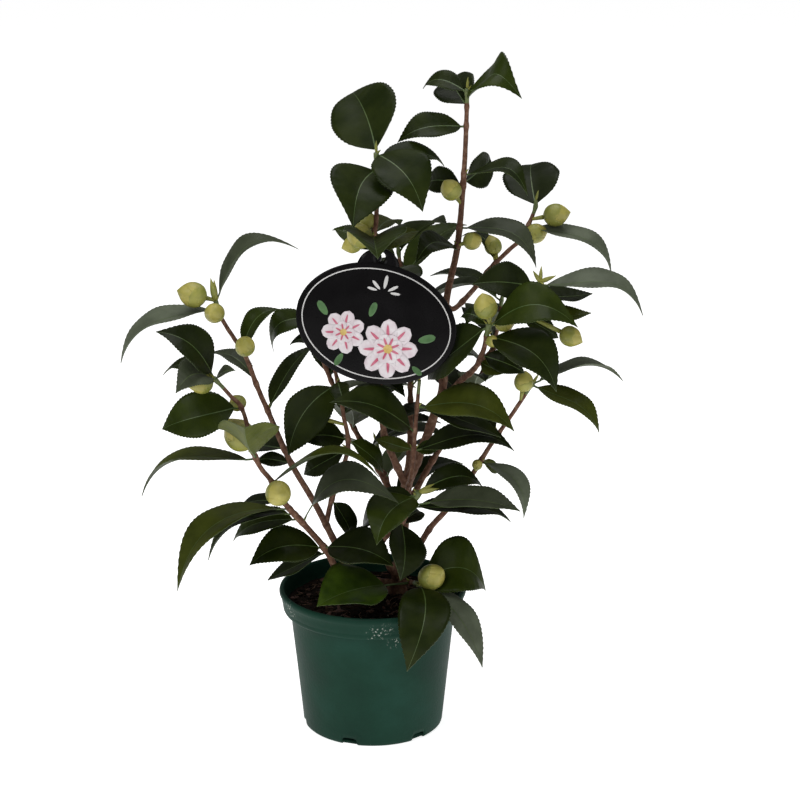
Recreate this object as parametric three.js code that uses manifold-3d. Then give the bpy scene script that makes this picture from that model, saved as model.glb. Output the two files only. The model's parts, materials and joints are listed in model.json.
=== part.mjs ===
// Camellia shrub in a round nursery pot, with the oval label that hangs on its left leader.
// Millimetres. +Z is up, +X is right, +Y is the back. The origin is the centre of the pot's flat
// underside. Pot, soil, trunk, boughs, foliage masses and label are each one closed solid.

import * as THREE from 'three';
import Module from 'manifold-3d';
import { mergeVertices } from 'three/addons/utils/BufferGeometryUtils.js';

const wasm = await Module();
wasm.setup();

// ---- Driving dimensions ----------------------------------------------------------------------

const GAP = 0.3; // clearance kept between two solids that meet

const POT = {
  height: 116,
  rimRadius: 75, // outside of the rounded lip
  collarRadius: 72, // outside of the collar band
  collarDepth: 17, // the band, from the rim down
  shoulder: 2.5, // height of the step from the band in to the wall
  wallRadius: 66, // outside, just under the collar
  baseRadius: 56.4, // outside, at the underside
  wall: 1.8,
  floor: 3,
  foot: 3, // bevel round the underside
  lip: 3, // thickness of the rounded lip
  // The lip's section: how far in from its outside and down from its top, in lip thicknesses.
  lipShape: [[0.5, 2], [0, 1.6], [0, 0.5], [0.5, 0], [1, 0], [1.3, 1]],
  sides: 40,
};
const NOTCH = { count: 6, width: 13, height: 6.5, firstAngle: -19 }; // drain notches, degrees from the front
// Top of the compost at the trunk, its fall towards the wall, and how far from the trunk's foot it is level.
const SOIL = { level: 104, slope: 2, collar: 4 };

const TRUNK = {
  points: [[19, 20, SOIL.level - 6], [22, 17, 131], [26, 12, 184], [28, 10, 203]], // cut off at the soil
  footRadius: 9,
  flare: 14, // height over which the root flare dies away
  radii: [5.4, 4.6],
};
const LIMB_SIDES = 8;
const STEM_SIDES = 6;
const LIMB_STEP = 16; // length of one straight stretch of a limb
const TWIG_SIDES = 3;
const TIP_SPIKE = 7; // leaf bud at the end of a shoot

const LEAF = {
  width: 0.54, // of the chord
  arch: 0.13, // rise of the midrib over the chord
  droop: 0.4, // how far that rise moves towards the tip
  bow: 0, // sideways bow of the midrib
  fold: 18, // degrees that each half of the blade rises from the midrib
  thickness: 1.6,
  turn: 25, // degrees that the upper face turns to the front
  petiole: 1.1, // half width at the root
  stalk: 0.08, // of the chord, before the blade starts
};
// Half width of the blade, as a share of its greatest, at shares of its length.
const BLADE = [[0.2, 0.8], [0.48, 1], [0.76, 0.66]];
// Flower bud: its length in bulb radii, the most of its reach that the bulb takes up, and the bulb's
// radius, as a share of its greatest, at shares of its length.
const BUD = { length: 2.4, reach: 0.9, profile: [[0, 0.12], [0.08, 0.55], [0.45, 1], [0.8, 0.62]] };
const TEST_START = 0.1; // the clash test leaves the petiole out
const TEST_THICKNESS = 2.4;
const SWINGS = [0, 8, -8, 16, -16, 24, -24, 34]; // how far a leaf's tip may swing back or forth to come clear

// The seeded rule: leaves stand a golden angle apart round a twig.
const RULE = {
  seedFactor: 7919,
  golden: 137.5,
  spacing: 11,
  length: [58, 80],
  rise: [5, 38],
  twig: { length: [26, 44], rise: [20, 45], spread: 60, radius: 1.4, bare: 0.35 },
  space: [[-72, 138], [-30, 170], [POT.height + 14, 420]], // in X, Y and Z, for the tips of its leaves
  swings: [0, 12, -12],
  fewest: 2, // a side twig with fewer leaves than this is left out
};

// The front view, in which leaves and buds are laid out: the eye's place, the degrees that it looks down,
// the view's scale and middle, and the steps in which a stem is searched for the node nearest to a place.
const VIEW = { eye: [22, -1722, 781], pitch: 16.5, scale: 2290, middle: 400, steps: 800 };
// A listed leaf's turn is the one of these that shows its breadth, or the one nearest to `fair` of several.
const TURNS = { first: -20, step: 5, count: 21, fair: 20 };
// How readily a midrib arches and bows when its middle is drawn to its place, and how far it may.
const GIVE = { arch: 1100, bow: 2250, arches: [-0.1, 0.45], bows: [-0.2, 0.2] };

const LABEL = {
  semi: [62, 46],
  roll: 13, // degrees, right side low
  lean: 10, // degrees, top to the back
  thickness: 1.2,
  hangs: 199, // where it hangs on the left leader, in mm from the leader's root
  drop: 48.6, // from the stem to the centre of the oval
  // The tab, measured from the oval's centre: its round top, and the hole in it that opens upwards.
  tab: { centre: [1.5, 42], semi: [16.5, 15.5], hole: [3.5, 51], bore: 3.6, slit: 2.4 },
  ring: { clear: 0.75, wall: 1.4, height: 5, bite: 0.4 }, // round the stem, sunk a little way into the plate
};
const LABEL_SEGMENTS = 24; // of a quarter of the oval, the tab and its hole
const RING_SIDES = 16;

// ---- Shoots ----------------------------------------------------------------------------------
// Each shoot is one smooth stem. It leaves its parent `at` mm from the parent's root and passes
// `points`. Its first `bare` mm is the bough, and the rest carries the foliage mass.
// leaves: [node, tip, mm from the node back to the tip, middle of the midrib, breadth across the run from
//          node to tip, what differs from LEAF]
// buds:   [node, tip, mm from the node back to the tip, radius]
//         A node is given in mm below the shoot's tip, or as the place [right, down] in the view that
//         it is nearest to. Tip, middle and breadth are in the view, and a tip of three numbers is
//         [right, back, up] from its node in mm.
// twigs:  side twigs at the back that the rule adds, in mm below the shoot's tip.

const SHOOTS = {
  tall_leader: {
    parent: 'trunk', at: 100, bare: 196, radii: [4, 1.7], seed: 3,
    points: [
      [42, 12, 234], [49, 14, 254], [56, 16, 280], [58, 22, 342], [67, 28, 389], [72, 34, 451],
      [74, 38, 510],
    ],
    leaves: [
      [2, [522, 98], -36, [493, 74], 40, { width: 0.74, droop: 1.3, stalk: 0.02 }],
      [3, [423, 88], 20, [446, 79], 17, { width: 0.5 }],
      [14, [452, 80], 45, null, 44, { width: 0.72, arch: 0.1 }],
      [29, [398, 143], -15, [430, 127], 25, { width: 0.5, droop: 0.6 }],
      [66, [527, 196], -30, [500, 167], 19, { width: 0.48, droop: 0.9 }],
      [[463, 186], [428, 184], 25, [447, 175], 26, { width: 0.58 }],
      [[464, 184], [490, 158], 38, [475, 171], 28, { width: 0.6 }],
      [108, [536, 268], -22, [499, 226], 21, { width: 0.46, droop: 0.5 }],
      [[460, 246], [416, 264], -32, [427, 244], 26, { width: 0.6, droop: 0.9 }],
    ],
    buds: [[[461, 205], [444, 181], -10, 8], [[461, 246], [481, 238], -15, 7]],
    twigs: [110],
  },
  left_leader: {
    parent: 'trunk', at: 98, bare: 192, radii: [3, 1.7], seed: 5,
    points: [
      [14, 0, 230], [9, -4, 248], [4, -12, 319], [4, -16, 386], [1, -15, 400], [4, -11, 420],
      [4, -5, 468],
    ],
    leaves: [
      [0, [353, 93], 60, [368, 121], 70, { width: 0.78, stalk: 0.04 }],
      [[375, 170], [353, 227], -50, [357, 192], 68, { width: 0.8, stalk: 0.04 }],
      [1, [423, 211], -36, [407, 175], 52, { width: 0.72, stalk: 0.05 }],
      [3, [444, 166], 26, [417, 154], 15, { width: 0.42, droop: 0.6 }],
      [64, [378, 258], -66, null, null, { width: 0.85, turn: 0, arch: 0.05, fold: 35 }],
      [62, [400, 226], 46, null, 12, { width: 0.45 }],
      [76, [418, 233], 15, [397, 241], 17, { width: 0.5 }],
      [76, [334, 231], 10, [350, 240], 17, { width: 0.5 }],
    ],
    buds: [
      [[373, 246], [349, 227], -12, 9.5], [[375, 228], [360, 214], 10, 7],
      [[368, 236], [342, 248], -5, 6.6],
    ],
    twigs: [],
  },
  right_shoulder: {
    parent: 'tall_leader', at: 150, bare: 58, radii: [2.3, 1.6], seed: 7,
    points: [
      [66, 30, 338], [85, 44, 355], [94, 48, 366], [109, 56, 379], [119, 60, 388], [129, 68, 408],
      [130, 70, 416],
    ],
    leaves: [
      [5, [531, 165], 52, null, 58, { width: 0.82, arch: 0.1, stalk: 0.04 }],
      [21, [611, 275], -12, [577, 235], 14, { width: 0.4, droop: 0.8 }],
      [62, [462, 236], 26, [480, 233], 10, { width: 0.42 }],
    ],
    buds: [
      [[537, 222], [571, 212], -6, 9.2], [[527, 240], [549, 230], 4, 8],
      [[494, 257], [490, 235], 10, 7],
    ],
    twigs: [50],
  },
  right_front: {
    parent: 'tall_leader', at: 66, bare: 55, radii: [2.9, 1.7], seed: 11,
    points: [[67, 0, 284], [80, -18, 302], [86, -28, 319], [88, -34, 333], [90, -38, 343]],
    leaves: [
      [12, [556, 392], -32, [528, 350], 42, { width: 0.6, droop: 0.5 }],
      [3, [460, 318], 15, [475, 308], 14, { width: 0.5 }],
      [2, [428, 380], 28, [458, 348], 34, { width: 0.56 }],
      [32, [524, 373], -4, [500, 359], 22, { width: 0.55 }],
      [38, [510, 371], -12, [491, 375], 17, { width: 0.6 }],
      [5, [578, 328], -16, [537, 304], 40, { width: 0.56, droop: 0.3 }],
    ],
    buds: [
      [[490, 323], [482, 293], -6, 9], [[486, 343], [498, 340], -10, 4.5],
      [[490, 325], [515, 321], 8, 7],
    ],
    twigs: [34],
  },
  right_middle: {
    parent: 'right_front', at: 47, bare: 24, radii: [2.2, 1.5], seed: 13,
    points: [[95, -14, 317], [108, -10, 334], [118, -6, 353], [130, -4, 367]],
    leaves: [
      [5, [473, 284], -20, [505, 284], 36, { width: 0.6 }],
      [14, [592, 294], 26, [570, 300], 15, { width: 0.45 }],
      [2, [643, 315], -12, [592, 280], 20, { width: 0.44, droop: 0.9 }],
      [26, [591, 313], 10, [562, 318], 16, { width: 0.42 }],
      [30, [558, 338], 16, [540, 331], 20, { width: 0.5 }],
    ],
    buds: [[[520, 312], [583, 342], -12, 8]],
    twigs: [30],
  },
  right_low: {
    parent: 'trunk', at: 20, bare: 94, radii: [2.8, 1.6], seed: 17,
    points: [
      [35, 12, 141], [46, 4, 163], [60, -2, 182], [77, -6, 208], [93, -10, 237], [110, -15, 265],
      [125, -20, 291],
    ],
    leaves: [
      [1, [623, 381], 22, [585, 365], 9, { width: 0.4, droop: 0.5 }],
      [2, [599, 433], -22, [573, 401], 19, { width: 0.45, droop: 0.8 }],
      [80, [524, 518], -34, [518, 479], 18, { width: 0.42, droop: 0.4 }],
      [78, [497, 472], 14, [489, 468], 10, { width: 0.4 }], [52, [-30, 34, 10], 0, null, null, {}],
    ],
    buds: [[[513, 396], [525, 371], -8, 7.5], [[474, 470], [479, 461], -8, 4]],
    twigs: [48, 74],
  },
  front_middle: {
    parent: 'trunk', at: 92, bare: 44, radii: [2.1, 1.5], seed: 19,
    points: [[31, -14, 214], [33, -20, 240], [34, -23, 257], [36, -26, 283], [37, -27, 295]],
    leaves: [
      [[417, 407], [514, 431], -30, [466, 404], 35, { width: 0.5, droop: 0.5 }],
      [21, [501, 438], -4, [460, 420], 20, { width: 0.45 }],
      [60, [516, 464], -42, [470, 443], 31, { width: 0.44, droop: 0.7 }],
      [44, [330, 402], -26, [371, 403], 34, { width: 0.5 }],
      [60, [376, 440], 12, [396, 446], 15, { width: 0.42 }],
      [60, [438, 448], 13, [427, 447], 15, { width: 0.5 }],
    ],
    buds: [],
    twigs: [],
  },
  front_low: {
    parent: 'trunk', at: 16, bare: 62, radii: [3.4, 2.3], seed: 23,
    points: [[7, -12, 153], [18, -22, 173], [24, -25, 180], [31, -28, 194], [37, -30, 205]],
    leaves: [
      [2, [362, 532], 34, [385, 505], 22, { width: 0.5 }],
      [1, [483, 485], 26, [452, 472], 24, { width: 0.46 }],
      [14, [520, 511], -44, [472, 500], 24, { width: 0.36, droop: 0.3, stalk: 0.2 }],
      [14, [510, 522], 14, [465, 507], 18, { width: 0.4, droop: 0.9 }],
      [4, [376, 545], -40, [389, 513], 42, { width: 0.7 }],
      [30, [400, 581], -36, [402, 552], 36, { width: 0.7 }],
      [36, [420, 511], 30, [408, 517], 20, { width: 0.55 }],
    ],
    buds: [],
    twigs: [],
  },
  left_front: {
    parent: 'trunk', at: 12, bare: 62, radii: [3.2, 1.5], seed: 29,
    points: [
      [-22, -12, 128], [-36, -28, 156], [-51, -38, 179], [-68, -50, 204], [-77, -58, 224],
      [-87, -66, 243], [-96, -74, 284], [-105, -77, 297], [-117, -80, 312],
    ],
    leaves: [
      [76, [245, 425], -62, null, null, { width: 0.74, turn: 0, arch: -0.04, stalk: 0.14, fold: 44 }],
      [0, [156, 332], -10, [187, 338], 34, { width: 0.6 }],
      [1, [175, 397], -30, [190, 370], 36, { width: 0.85 }],
      [2, [235, 374], -22, [225, 373], 11, { width: 0.5 }],
      [3, [163, 375], 16, [186, 364], 14, { width: 0.45 }],
      [32, [-60, -22, -18], 0, null, null, { turn: 50, width: 0.62 }],
      [77, [142, 496], 10, [195, 456], 12, { width: 0.34, droop: 0.8 }],
      [104, [379, 477], -14, [325, 453], 9, { width: 0.32, stalk: 0.03 }],
      [125, [239, 509], 24, [262, 501], 12, { width: 0.4 }],
      [134, [180, 580], -30, [220, 519], 17, { width: 0.36, droop: 0.2 }],
      [141, [208, 560], -10, [243, 518], 13, { width: 0.36, droop: 0.2 }],
      [147, [233, 541], 22, [262, 524], 22, { width: 0.46 }],
      [152, [399, 503], -18, [352, 476], 30, { width: 0.44, droop: 0.2, stalk: 0.16 }],
      [184, [249, 566], -20, [284, 548], 37, { width: 0.58 }],
      [188, [268, 580], 12, [298, 567], 16, { width: 0.45 }],
      [182, [393, 566], -28, [357, 551], 38, { width: 0.66 }],
    ],
    buds: [
      [[276, 492], [279, 494], -27, 10], [[254, 455], [227, 419], 6, 12],
      [[215, 380], [189, 388], -8, 7.8], [[243, 410], [232, 396], 9, 6.5],
    ],
    twigs: [90, 60],
  },
  left_tall: {
    parent: 'left_front', at: 46, bare: 66, radii: [3, 1.6], seed: 31,
    points: [
      [-40, -12, 179], [-49, -16, 198], [-64, -24, 229], [-80, -32, 272], [-87, -36, 291],
      [-95, -40, 316], [-102, -42, 329], [-113, -45, 349], [-117, -47, 363],
    ],
    leaves: [
      [1, [298, 249], 16, [252, 243], 15, { width: 0.42 }],
      [6, [121, 363], -12, [164, 316], 15, { width: 0.42, droop: 0.6 }],
      [46, [281, 309], 14, [253, 318], 17, { width: 0.45 }],
      [75, [208, 357], 16, [242, 361], 12, { width: 0.36, droop: 0 }],
      [136, [-26, 34, -14], 0, null, null, {}], [150, [256, 461], 10, [272, 457], 14, { width: 0.45 }],
      [100, [316, 345], 34, [288, 374], 16, { width: 0.36 }],
    ],
    buds: [
      [[212, 300], [177, 290], -9, 9.8], [[219, 312], [210, 314], -20, 7.6],
      [[246, 356], [245, 340], -19, 7.6],
    ],
    twigs: [108, 62],
  },
  left_inner: {
    parent: 'left_tall', at: 52, bare: 14, radii: [2.2, 1.4], seed: 37,
    points: [
      [-32, -12, 192], [-19, -12, 234], [-22, -16, 263], [-26, -18, 290], [-34, -15, 322],
      [-38, -13, 344],
    ],
    leaves: [
      [22, [290, 345], 2, [309, 338], 10, { width: 0.4 }],
      [56, [288, 455], -26, [303, 408], 42, { width: 0.56 }],
      [54, [6, -32, -14], 0, null, null, { turn: 20 }],
      [156, [350, 550], -26, [337, 522], 36, { width: 0.66 }],
      [6, [274, 352], 6, [283, 311], 22, { width: 0.45 }],
      [104, [298, 441], -12, [322, 437], 26, { width: 0.6 }],
      [112, [304, 475], 8, [325, 462], 24, { width: 0.55 }],
      [104, [383, 472], 12, [370, 456], 17, { width: 0.5 }], [40, [20, 44, 6], 0, null, null, {}],
    ],
    buds: [[[345, 425], [300, 412], -10, 7]],
    twigs: [60],
  },
  foot: {
    parent: 'trunk', at: 14, bare: 20, radii: [2.4, 1.8], seed: 41,
    points: [[26, 0, 118], [32, -18, 125], [37, -33, 129]],
    leaves: [
      [22, [317, 606], -44, [344, 594], 46, { width: 0.68, stalk: 0.3 }],
      [6, [486, 591], 8, [448, 562], 56, { width: 0.95 }],
      [2, [407, 671], -54, null, null, { width: 0.56, turn: 0, arch: 0.3, bow: -0.18, droop: 0 }],
      [3, [483, 671], -50, null, null, { width: 0.36, turn: 0, arch: 0.16, bow: 0.02, droop: 0 }],
    ],
    buds: [[[419, 587], [444, 570], -12, 10.3]],
    twigs: [],
  },
  back_left: {
    parent: 'trunk', at: 66, bare: 60, radii: [2.8, 1.5], seed: 43,
    points: [[10, 40, 190], [-16, 72, 226], [-40, 92, 274], [-52, 98, 320]],
    grows: 150,
  },
  back_right: {
    parent: 'trunk', at: 74, bare: 60, radii: [2.8, 1.5], seed: 47,
    points: [[46, 40, 204], [74, 70, 242], [98, 90, 290], [106, 96, 334]],
    grows: 150,
  },
  back_middle: {
    parent: 'trunk', at: 92, bare: 52, radii: [2.6, 1.5], seed: 53,
    points: [[30, 36, 228], [30, 66, 276], [26, 84, 328], [20, 90, 376]],
    grows: 150,
  },
  back_low: {
    parent: 'trunk', at: 36, bare: 44, radii: [2.4, 1.5], seed: 59,
    points: [[20, 44, 154], [12, 72, 178], [2, 98, 206]],
    grows: 78,
  },
};

// ---- Materials -------------------------------------------------------------------------------

const finish = (color, roughness) => new THREE.MeshStandardMaterial({ color, roughness, metalness: 0 });
const MATERIALS = {
  pot: finish(0x12493a, 0.5),
  soil: finish(0x241a12, 0.95),
  bark: finish(0x5b4030, 0.85),
  foliage: finish(0x24401f, 0.4),
  label: finish(0x141416, 0.25),
};

// ---- Small helpers ---------------------------------------------------------------------------

const UP = new THREE.Vector3(0, 0, 1);
const FRONT = new THREE.Vector3(0, -1, 0);
const radians = THREE.MathUtils.degToRad;
const { clamp } = THREE.MathUtils;
const vector = (xyz) => new THREE.Vector3(...xyz);
const blend = (range, share) => range[0] + (range[1] - range[0]) * share;

// A point `along` the first direction, `across` the second, from `start`.
function offset(start, first, along, second, across) {
  return start.clone().addScaledVector(first, along).addScaledVector(second, across);
}

// Numbers from 0 to 1, the same ones for the same seed.
function seeded(seed) {
  let state = seed * RULE.seedFactor;
  return () => {
    state = (1664525 * state + 1013904223) % 4294967296;
    return state / 4294967296;
  };
}

function heading(degrees, riseDegrees) {
  const flat = Math.cos(radians(riseDegrees));
  return new THREE.Vector3(
    flat * Math.cos(radians(degrees)), flat * Math.sin(radians(degrees)), Math.sin(radians(riseDegrees)));
}

// ---- Front view ------------------------------------------------------------------------------

const eye = vector(VIEW.eye);
const pitch = radians(VIEW.pitch);
const ahead = new THREE.Vector3(0, Math.cos(pitch), -Math.sin(pitch));
const above = new THREE.Vector3(0, Math.sin(pitch), Math.cos(pitch));

// Where a place shows in the view, right and down.
function shown(place) {
  const ray = place.clone().sub(eye);
  const scale = VIEW.scale / ray.dot(ahead);
  return new THREE.Vector2(VIEW.middle + ray.x * scale, VIEW.middle - ray.dot(above) * scale);
}

// The place at this Y that shows at [right, down].
function placeAt([right, down], y) {
  const ray = ahead.clone().multiplyScalar(VIEW.scale).addScaledVector(above, VIEW.middle - down);
  ray.x += right - VIEW.middle;
  return eye.clone().addScaledVector(ray, (y - eye.y) / ray.y);
}

function nodeBelow(curve, below) {
  return curve.getPointAt(1 - below / curve.getLength());
}

// A node given in mm below the stem's tip, or by the place in the view that it is nearest to.
function nodeOn(curve, given) {
  if (!Array.isArray(given)) return nodeBelow(curve, given);
  const place = new THREE.Vector2(...given);
  const off = (share) => shown(curve.getPointAt(share)).distanceTo(place);
  const shares = Array.from({ length: VIEW.steps + 1 }, (_, k) => k / VIEW.steps);
  const nearest = shares.reduce((best, share) => (off(share) < off(best) ? share : best));
  return nodeBelow(curve, Math.round(curve.getLength() * (1 - nearest)));
}

// A tip given in the view and in mm behind its node, or as [right, back, up] from it.
function tipOf(node, given, back) {
  const reach = given.length === 3 ? vector(given) : placeAt(given, node.y + back).sub(node).round();
  return node.clone().add(reach);
}

// ---- Solids ----------------------------------------------------------------------------------

function toSolid(geometry) {
  geometry.deleteAttribute('normal');
  geometry.deleteAttribute('uv');
  const merged = mergeVertices(geometry, 1e-4);
  return new wasm.Manifold(new wasm.Mesh({
    numProp: 3,
    vertProperties: new Float32Array(merged.attributes.position.array),
    triVerts: new Uint32Array(merged.index.array),
  }));
}

function toGeometry(solid) {
  const mesh = solid.getMesh();
  const geometry = new THREE.BufferGeometry();
  geometry.setAttribute('position', new THREE.BufferAttribute(new Float32Array(mesh.vertProperties), 3));
  geometry.setIndex(new THREE.BufferAttribute(new Uint32Array(mesh.triVerts), 1));
  geometry.computeVertexNormals();
  return geometry;
}

// The largest of the bodies that a cut leaves, or the outer skin where joining seals a hollow.
function largest(solid) {
  const bodies = solid.decompose();
  return bodies.reduce((best, body) => (body.volume() > best.volume() ? body : best));
}

// A closed skin over rings of points, each ring clockwise seen along the loft. The last ring may be
// one point.
function loft(rings) {
  const positions = rings.flat().flatMap((point) => [point.x, point.y, point.z]);
  const sides = rings[0].length;
  const faces = [];
  for (let k = 0; k < rings.length - 1; k += 1) {
    const here = k * sides;
    const next = here + sides;
    for (let i = 0; i < sides; i += 1) {
      const j = (i + 1) % sides;
      if (rings[k + 1].length === 1) {
        faces.push(here + i, here + j, next);
      } else {
        faces.push(here + i, here + j, next + i, here + j, next + j, next + i);
      }
    }
  }
  for (let i = 1; i < sides - 1; i += 1) {
    faces.push(0, i + 1, i);
    if (rings[rings.length - 1].length > 1) {
      const last = (rings.length - 1) * sides;
      faces.push(last, last + i, last + i + 1);
    }
  }
  const geometry = new THREE.BufferGeometry();
  geometry.setAttribute('position', new THREE.Float32BufferAttribute(positions, 3));
  geometry.setIndex(faces);
  return toSolid(geometry);
}

function ring(centre, side, up, radius, sides) {
  return Array.from({ length: sides }, (_, i) => {
    const angle = (2 * Math.PI * i) / sides;
    return offset(centre, side, -radius * Math.cos(angle), up, radius * Math.sin(angle));
  });
}

// A tapering round limb along a curve, from one share of its length to another.
function limb(curve, from, to, radiusAt, sides, spike = 0) {
  const length = curve.getLength() * (to - from);
  const steps = Math.max(2, Math.round(length / LIMB_STEP));
  const first = curve.getTangentAt(from);
  let up = new THREE.Vector3(1, 0, 0).cross(first).normalize();
  const rings = [];
  for (let k = 0; k <= steps; k += 1) {
    const share = Math.min(1, from + ((to - from) * k) / steps);
    const tangent = curve.getTangentAt(share);
    up = up.clone().addScaledVector(tangent, -up.dot(tangent)).normalize();
    const side = tangent.clone().cross(up);
    rings.push(ring(curve.getPointAt(share), side, up, radiusAt(share), sides));
  }
  if (spike) rings.push([offset(curve.getPointAt(to), curve.getTangentAt(to), spike, up, 0)]);
  return loft(rings);
}

// The directions along a leaf, out of its upper face and to its side.
function leafFrame(node, tip, turnDegrees) {
  const along = tip.clone().sub(node).normalize();
  const level = UP.clone().addScaledVector(along, -UP.dot(along)).normalize();
  const flat = along.clone().cross(level);
  const turn = radians(turnDegrees) * (flat.dot(FRONT) < 0 ? -1 : 1);
  const upper = offset(new THREE.Vector3(), level, Math.cos(turn), flat, Math.sin(turn));
  return { along, upper, side: along.clone().cross(upper) };
}

// The shape of a listed leaf: its turn shows the blade `breadth` wide in the view, and its arch and bow
// draw the middle of its midrib towards `middle`, as far as they give way.
function shapeSeen(node, tip, middle, breadth, given) {
  const shape = { ...LEAF, ...given };
  const length = tip.distanceTo(node);
  const [start, end] = [shown(node), shown(tip)];
  const run = end.clone().sub(start);
  const across = new THREE.Vector2(-run.y, run.x).normalize();
  const sway = (step) => shown(node.clone().add(step)).sub(start).dot(across);
  const wide = ((shape.width * length) / 2) * Math.cos(radians(shape.fold));
  const high = ((shape.width * length) / 2) * Math.sin(radians(shape.fold));
  if (breadth) {
    const miss = (turn) => {
      const { upper, side } = leafFrame(node, tip, turn);
      const edges = [-wide, wide].map((out) => sway(offset(new THREE.Vector3(), side, out, upper, high)));
      const seen = Math.max(0, ...edges) - Math.min(0, ...edges);
      return Math.round(10 * Math.abs(seen - breadth)) + Math.abs(turn - TURNS.fair) / 1000;
    };
    const turns = Array.from({ length: TURNS.count }, (_, k) => TURNS.first + k * TURNS.step);
    shape.turn = turns.reduce((best, turn) => (miss(turn) < miss(best) ? turn : best));
  }
  if (middle) {
    const { upper, side } = leafFrame(node, tip, shape.turn);
    const rise = sway(upper.multiplyScalar(length));
    const drift = sway(side.multiplyScalar(length));
    const centre = start.clone().add(end).multiplyScalar(0.5);
    const wanted = new THREE.Vector2(...middle).sub(centre).dot(across) - LEAF.arch * rise;
    const pull = wanted / (1 + rise ** 2 / GIVE.arch + drift ** 2 / GIVE.bow);
    shape.arch = clamp(LEAF.arch + (pull * rise) / GIVE.arch, ...GIVE.arches);
    shape.bow = clamp((pull * drift) / GIVE.bow, ...GIVE.bows);
  }
  return { ...shape, ...given };
}

// A leaf from its node to its tip: a folded, arched blade of lens section. The clash test starts a
// share `from` along it, and so leaves the petiole out.
function leafSolid(leaf, from, thickness) {
  const { along, upper, side } = leafFrame(leaf.node, leaf.tip, leaf.turn);
  const length = leaf.tip.distanceTo(leaf.node);
  const fold = radians(leaf.fold);
  const section = (share, half, thick) => {
    const round = 4 * length * share * (1 - share);
    const rise = leaf.arch * round * (1 + leaf.droop * (2 * share - 1));
    const arched = offset(leaf.node, along, length * share, upper, rise);
    const middle = arched.addScaledVector(side, leaf.bow * round);
    const edge = (sign) => offset(middle, side, sign * half * Math.cos(fold), upper, half * Math.sin(fold));
    const rib = (sign) => offset(middle, upper, sign * thick, side, 0);
    return [edge(-1), rib(0.5), edge(1), rib(-0.5)];
  };
  const half = (leaf.width * length) / 2;
  const shares = BLADE.map(([share]) => leaf.stalk + (1 - leaf.stalk) * share);
  const blade = BLADE.map(([, wide], i) => section(shares[i], half * wide, thickness));
  const root = section(0, LEAF.petiole, Math.max(thickness, 2 * LEAF.petiole));
  const start = root.map((point, i) => point.lerp(blade[0][i], from / shares[0]));
  return loft([start, ...blade, [leaf.tip.clone()]]);
}

// A flower bud on its short stalk, which starts at the node.
function budSolid(bud) {
  const reach = bud.tip.clone().sub(bud.node);
  const along = reach.clone().normalize();
  const up = new THREE.Vector3(1, 0, 0).cross(along).normalize();
  const side = along.clone().cross(up);
  const bulb = Math.min(BUD.length * bud.radius, reach.length() * BUD.reach);
  const rings = [ring(bud.node, side, up, LEAF.petiole, STEM_SIDES)];
  BUD.profile.forEach(([share, wide]) => {
    const centre = offset(bud.tip, along, (share - 1) * bulb, up, 0);
    rings.push(ring(centre, side, up, Math.max(bud.radius * wide, LEAF.petiole), STEM_SIDES));
  });
  return loft([...rings, [bud.tip.clone()]]);
}

// ---- Pot and soil ----------------------------------------------------------------------------

function lathe(profile) {
  const points = profile.map(([radius, height]) => new THREE.Vector2(radius, height));
  const geometry = new THREE.LatheGeometry(points, POT.sides);
  geometry.rotateX(Math.PI / 2); // the lathe turns about Y
  return toSolid(geometry);
}

// Inside face of the pot, from the middle of the floor to the lip, moved in by `inset`.
function potInside(inset) {
  const shoulder = POT.height - POT.collarDepth;
  return [
    [0, POT.floor + inset],
    [POT.baseRadius - POT.wall - inset, POT.floor + inset],
    [POT.wallRadius - POT.wall - inset, shoulder - POT.shoulder + inset],
    [POT.collarRadius - POT.wall - inset, shoulder + inset],
  ];
}

function makePot() {
  const shoulder = POT.height - POT.collarDepth;
  const outside = [
    [0, 0],
    [POT.baseRadius - POT.foot, 0],
    [POT.baseRadius, POT.foot],
    [POT.wallRadius, shoulder - POT.shoulder],
    [POT.collarRadius - POT.shoulder, shoulder - POT.shoulder / 2],
    [POT.collarRadius, shoulder],
    ...POT.lipShape.map(([inward, down]) => [POT.rimRadius - inward * POT.lip, POT.height - down * POT.lip]),
  ];
  let pot = lathe([...outside, ...potInside(0).reverse()]);
  for (let i = 0; i < NOTCH.count; i += 1) {
    const angle = radians(NOTCH.firstAngle + (360 / NOTCH.count) * i);
    const cutter = new THREE.BoxGeometry(NOTCH.width, 2 * POT.foot + POT.wall, 2 * NOTCH.height);
    cutter.rotateZ(angle);
    const radius = POT.baseRadius;
    cutter.translate(radius * Math.sin(angle), -radius * Math.cos(angle), 0);
    pot = pot.subtract(toSolid(cutter));
  }
  return pot;
}

function makeSoil() {
  const edge = POT.collarRadius - POT.wall - GAP;
  const level = TRUNK.footRadius + SOIL.collar;
  return lathe([...potInside(GAP), [edge, SOIL.level - SOIL.slope], [level, SOIL.level], [0, SOIL.level]]);
}

// ---- Trunk, boughs and stems -----------------------------------------------------------------

function curveThrough(points) {
  return new THREE.CatmullRomCurve3(points.map(vector), false, 'catmullrom', 0.5);
}

const trunkCurve = curveThrough(TRUNK.points);

function trunkRadius(grow) {
  return (share) => {
    const height = trunkCurve.getPointAt(share).z - SOIL.level;
    const flare = Math.min(1, Math.max(0, 1 - height / TRUNK.flare)) ** 2;
    return blend(TRUNK.radii, share) + (TRUNK.footRadius - TRUNK.radii[0]) * flare + grow;
  };
}

// Every limb so far, each a hair larger all round, for cutting the next ones clear of it.
const grownLimbs = [];
const curves = { trunk: trunkCurve };
const boughs = {};
const stems = {};

// What is left of a limb above the soil.
function aboveSoil(solid) {
  const ground = new THREE.BoxGeometry(2 * POT.rimRadius, 2 * POT.rimRadius, SOIL.level);
  ground.translate(0, 0, SOIL.level / 2 + GAP);
  return solid.subtract(toSolid(ground));
}

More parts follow.
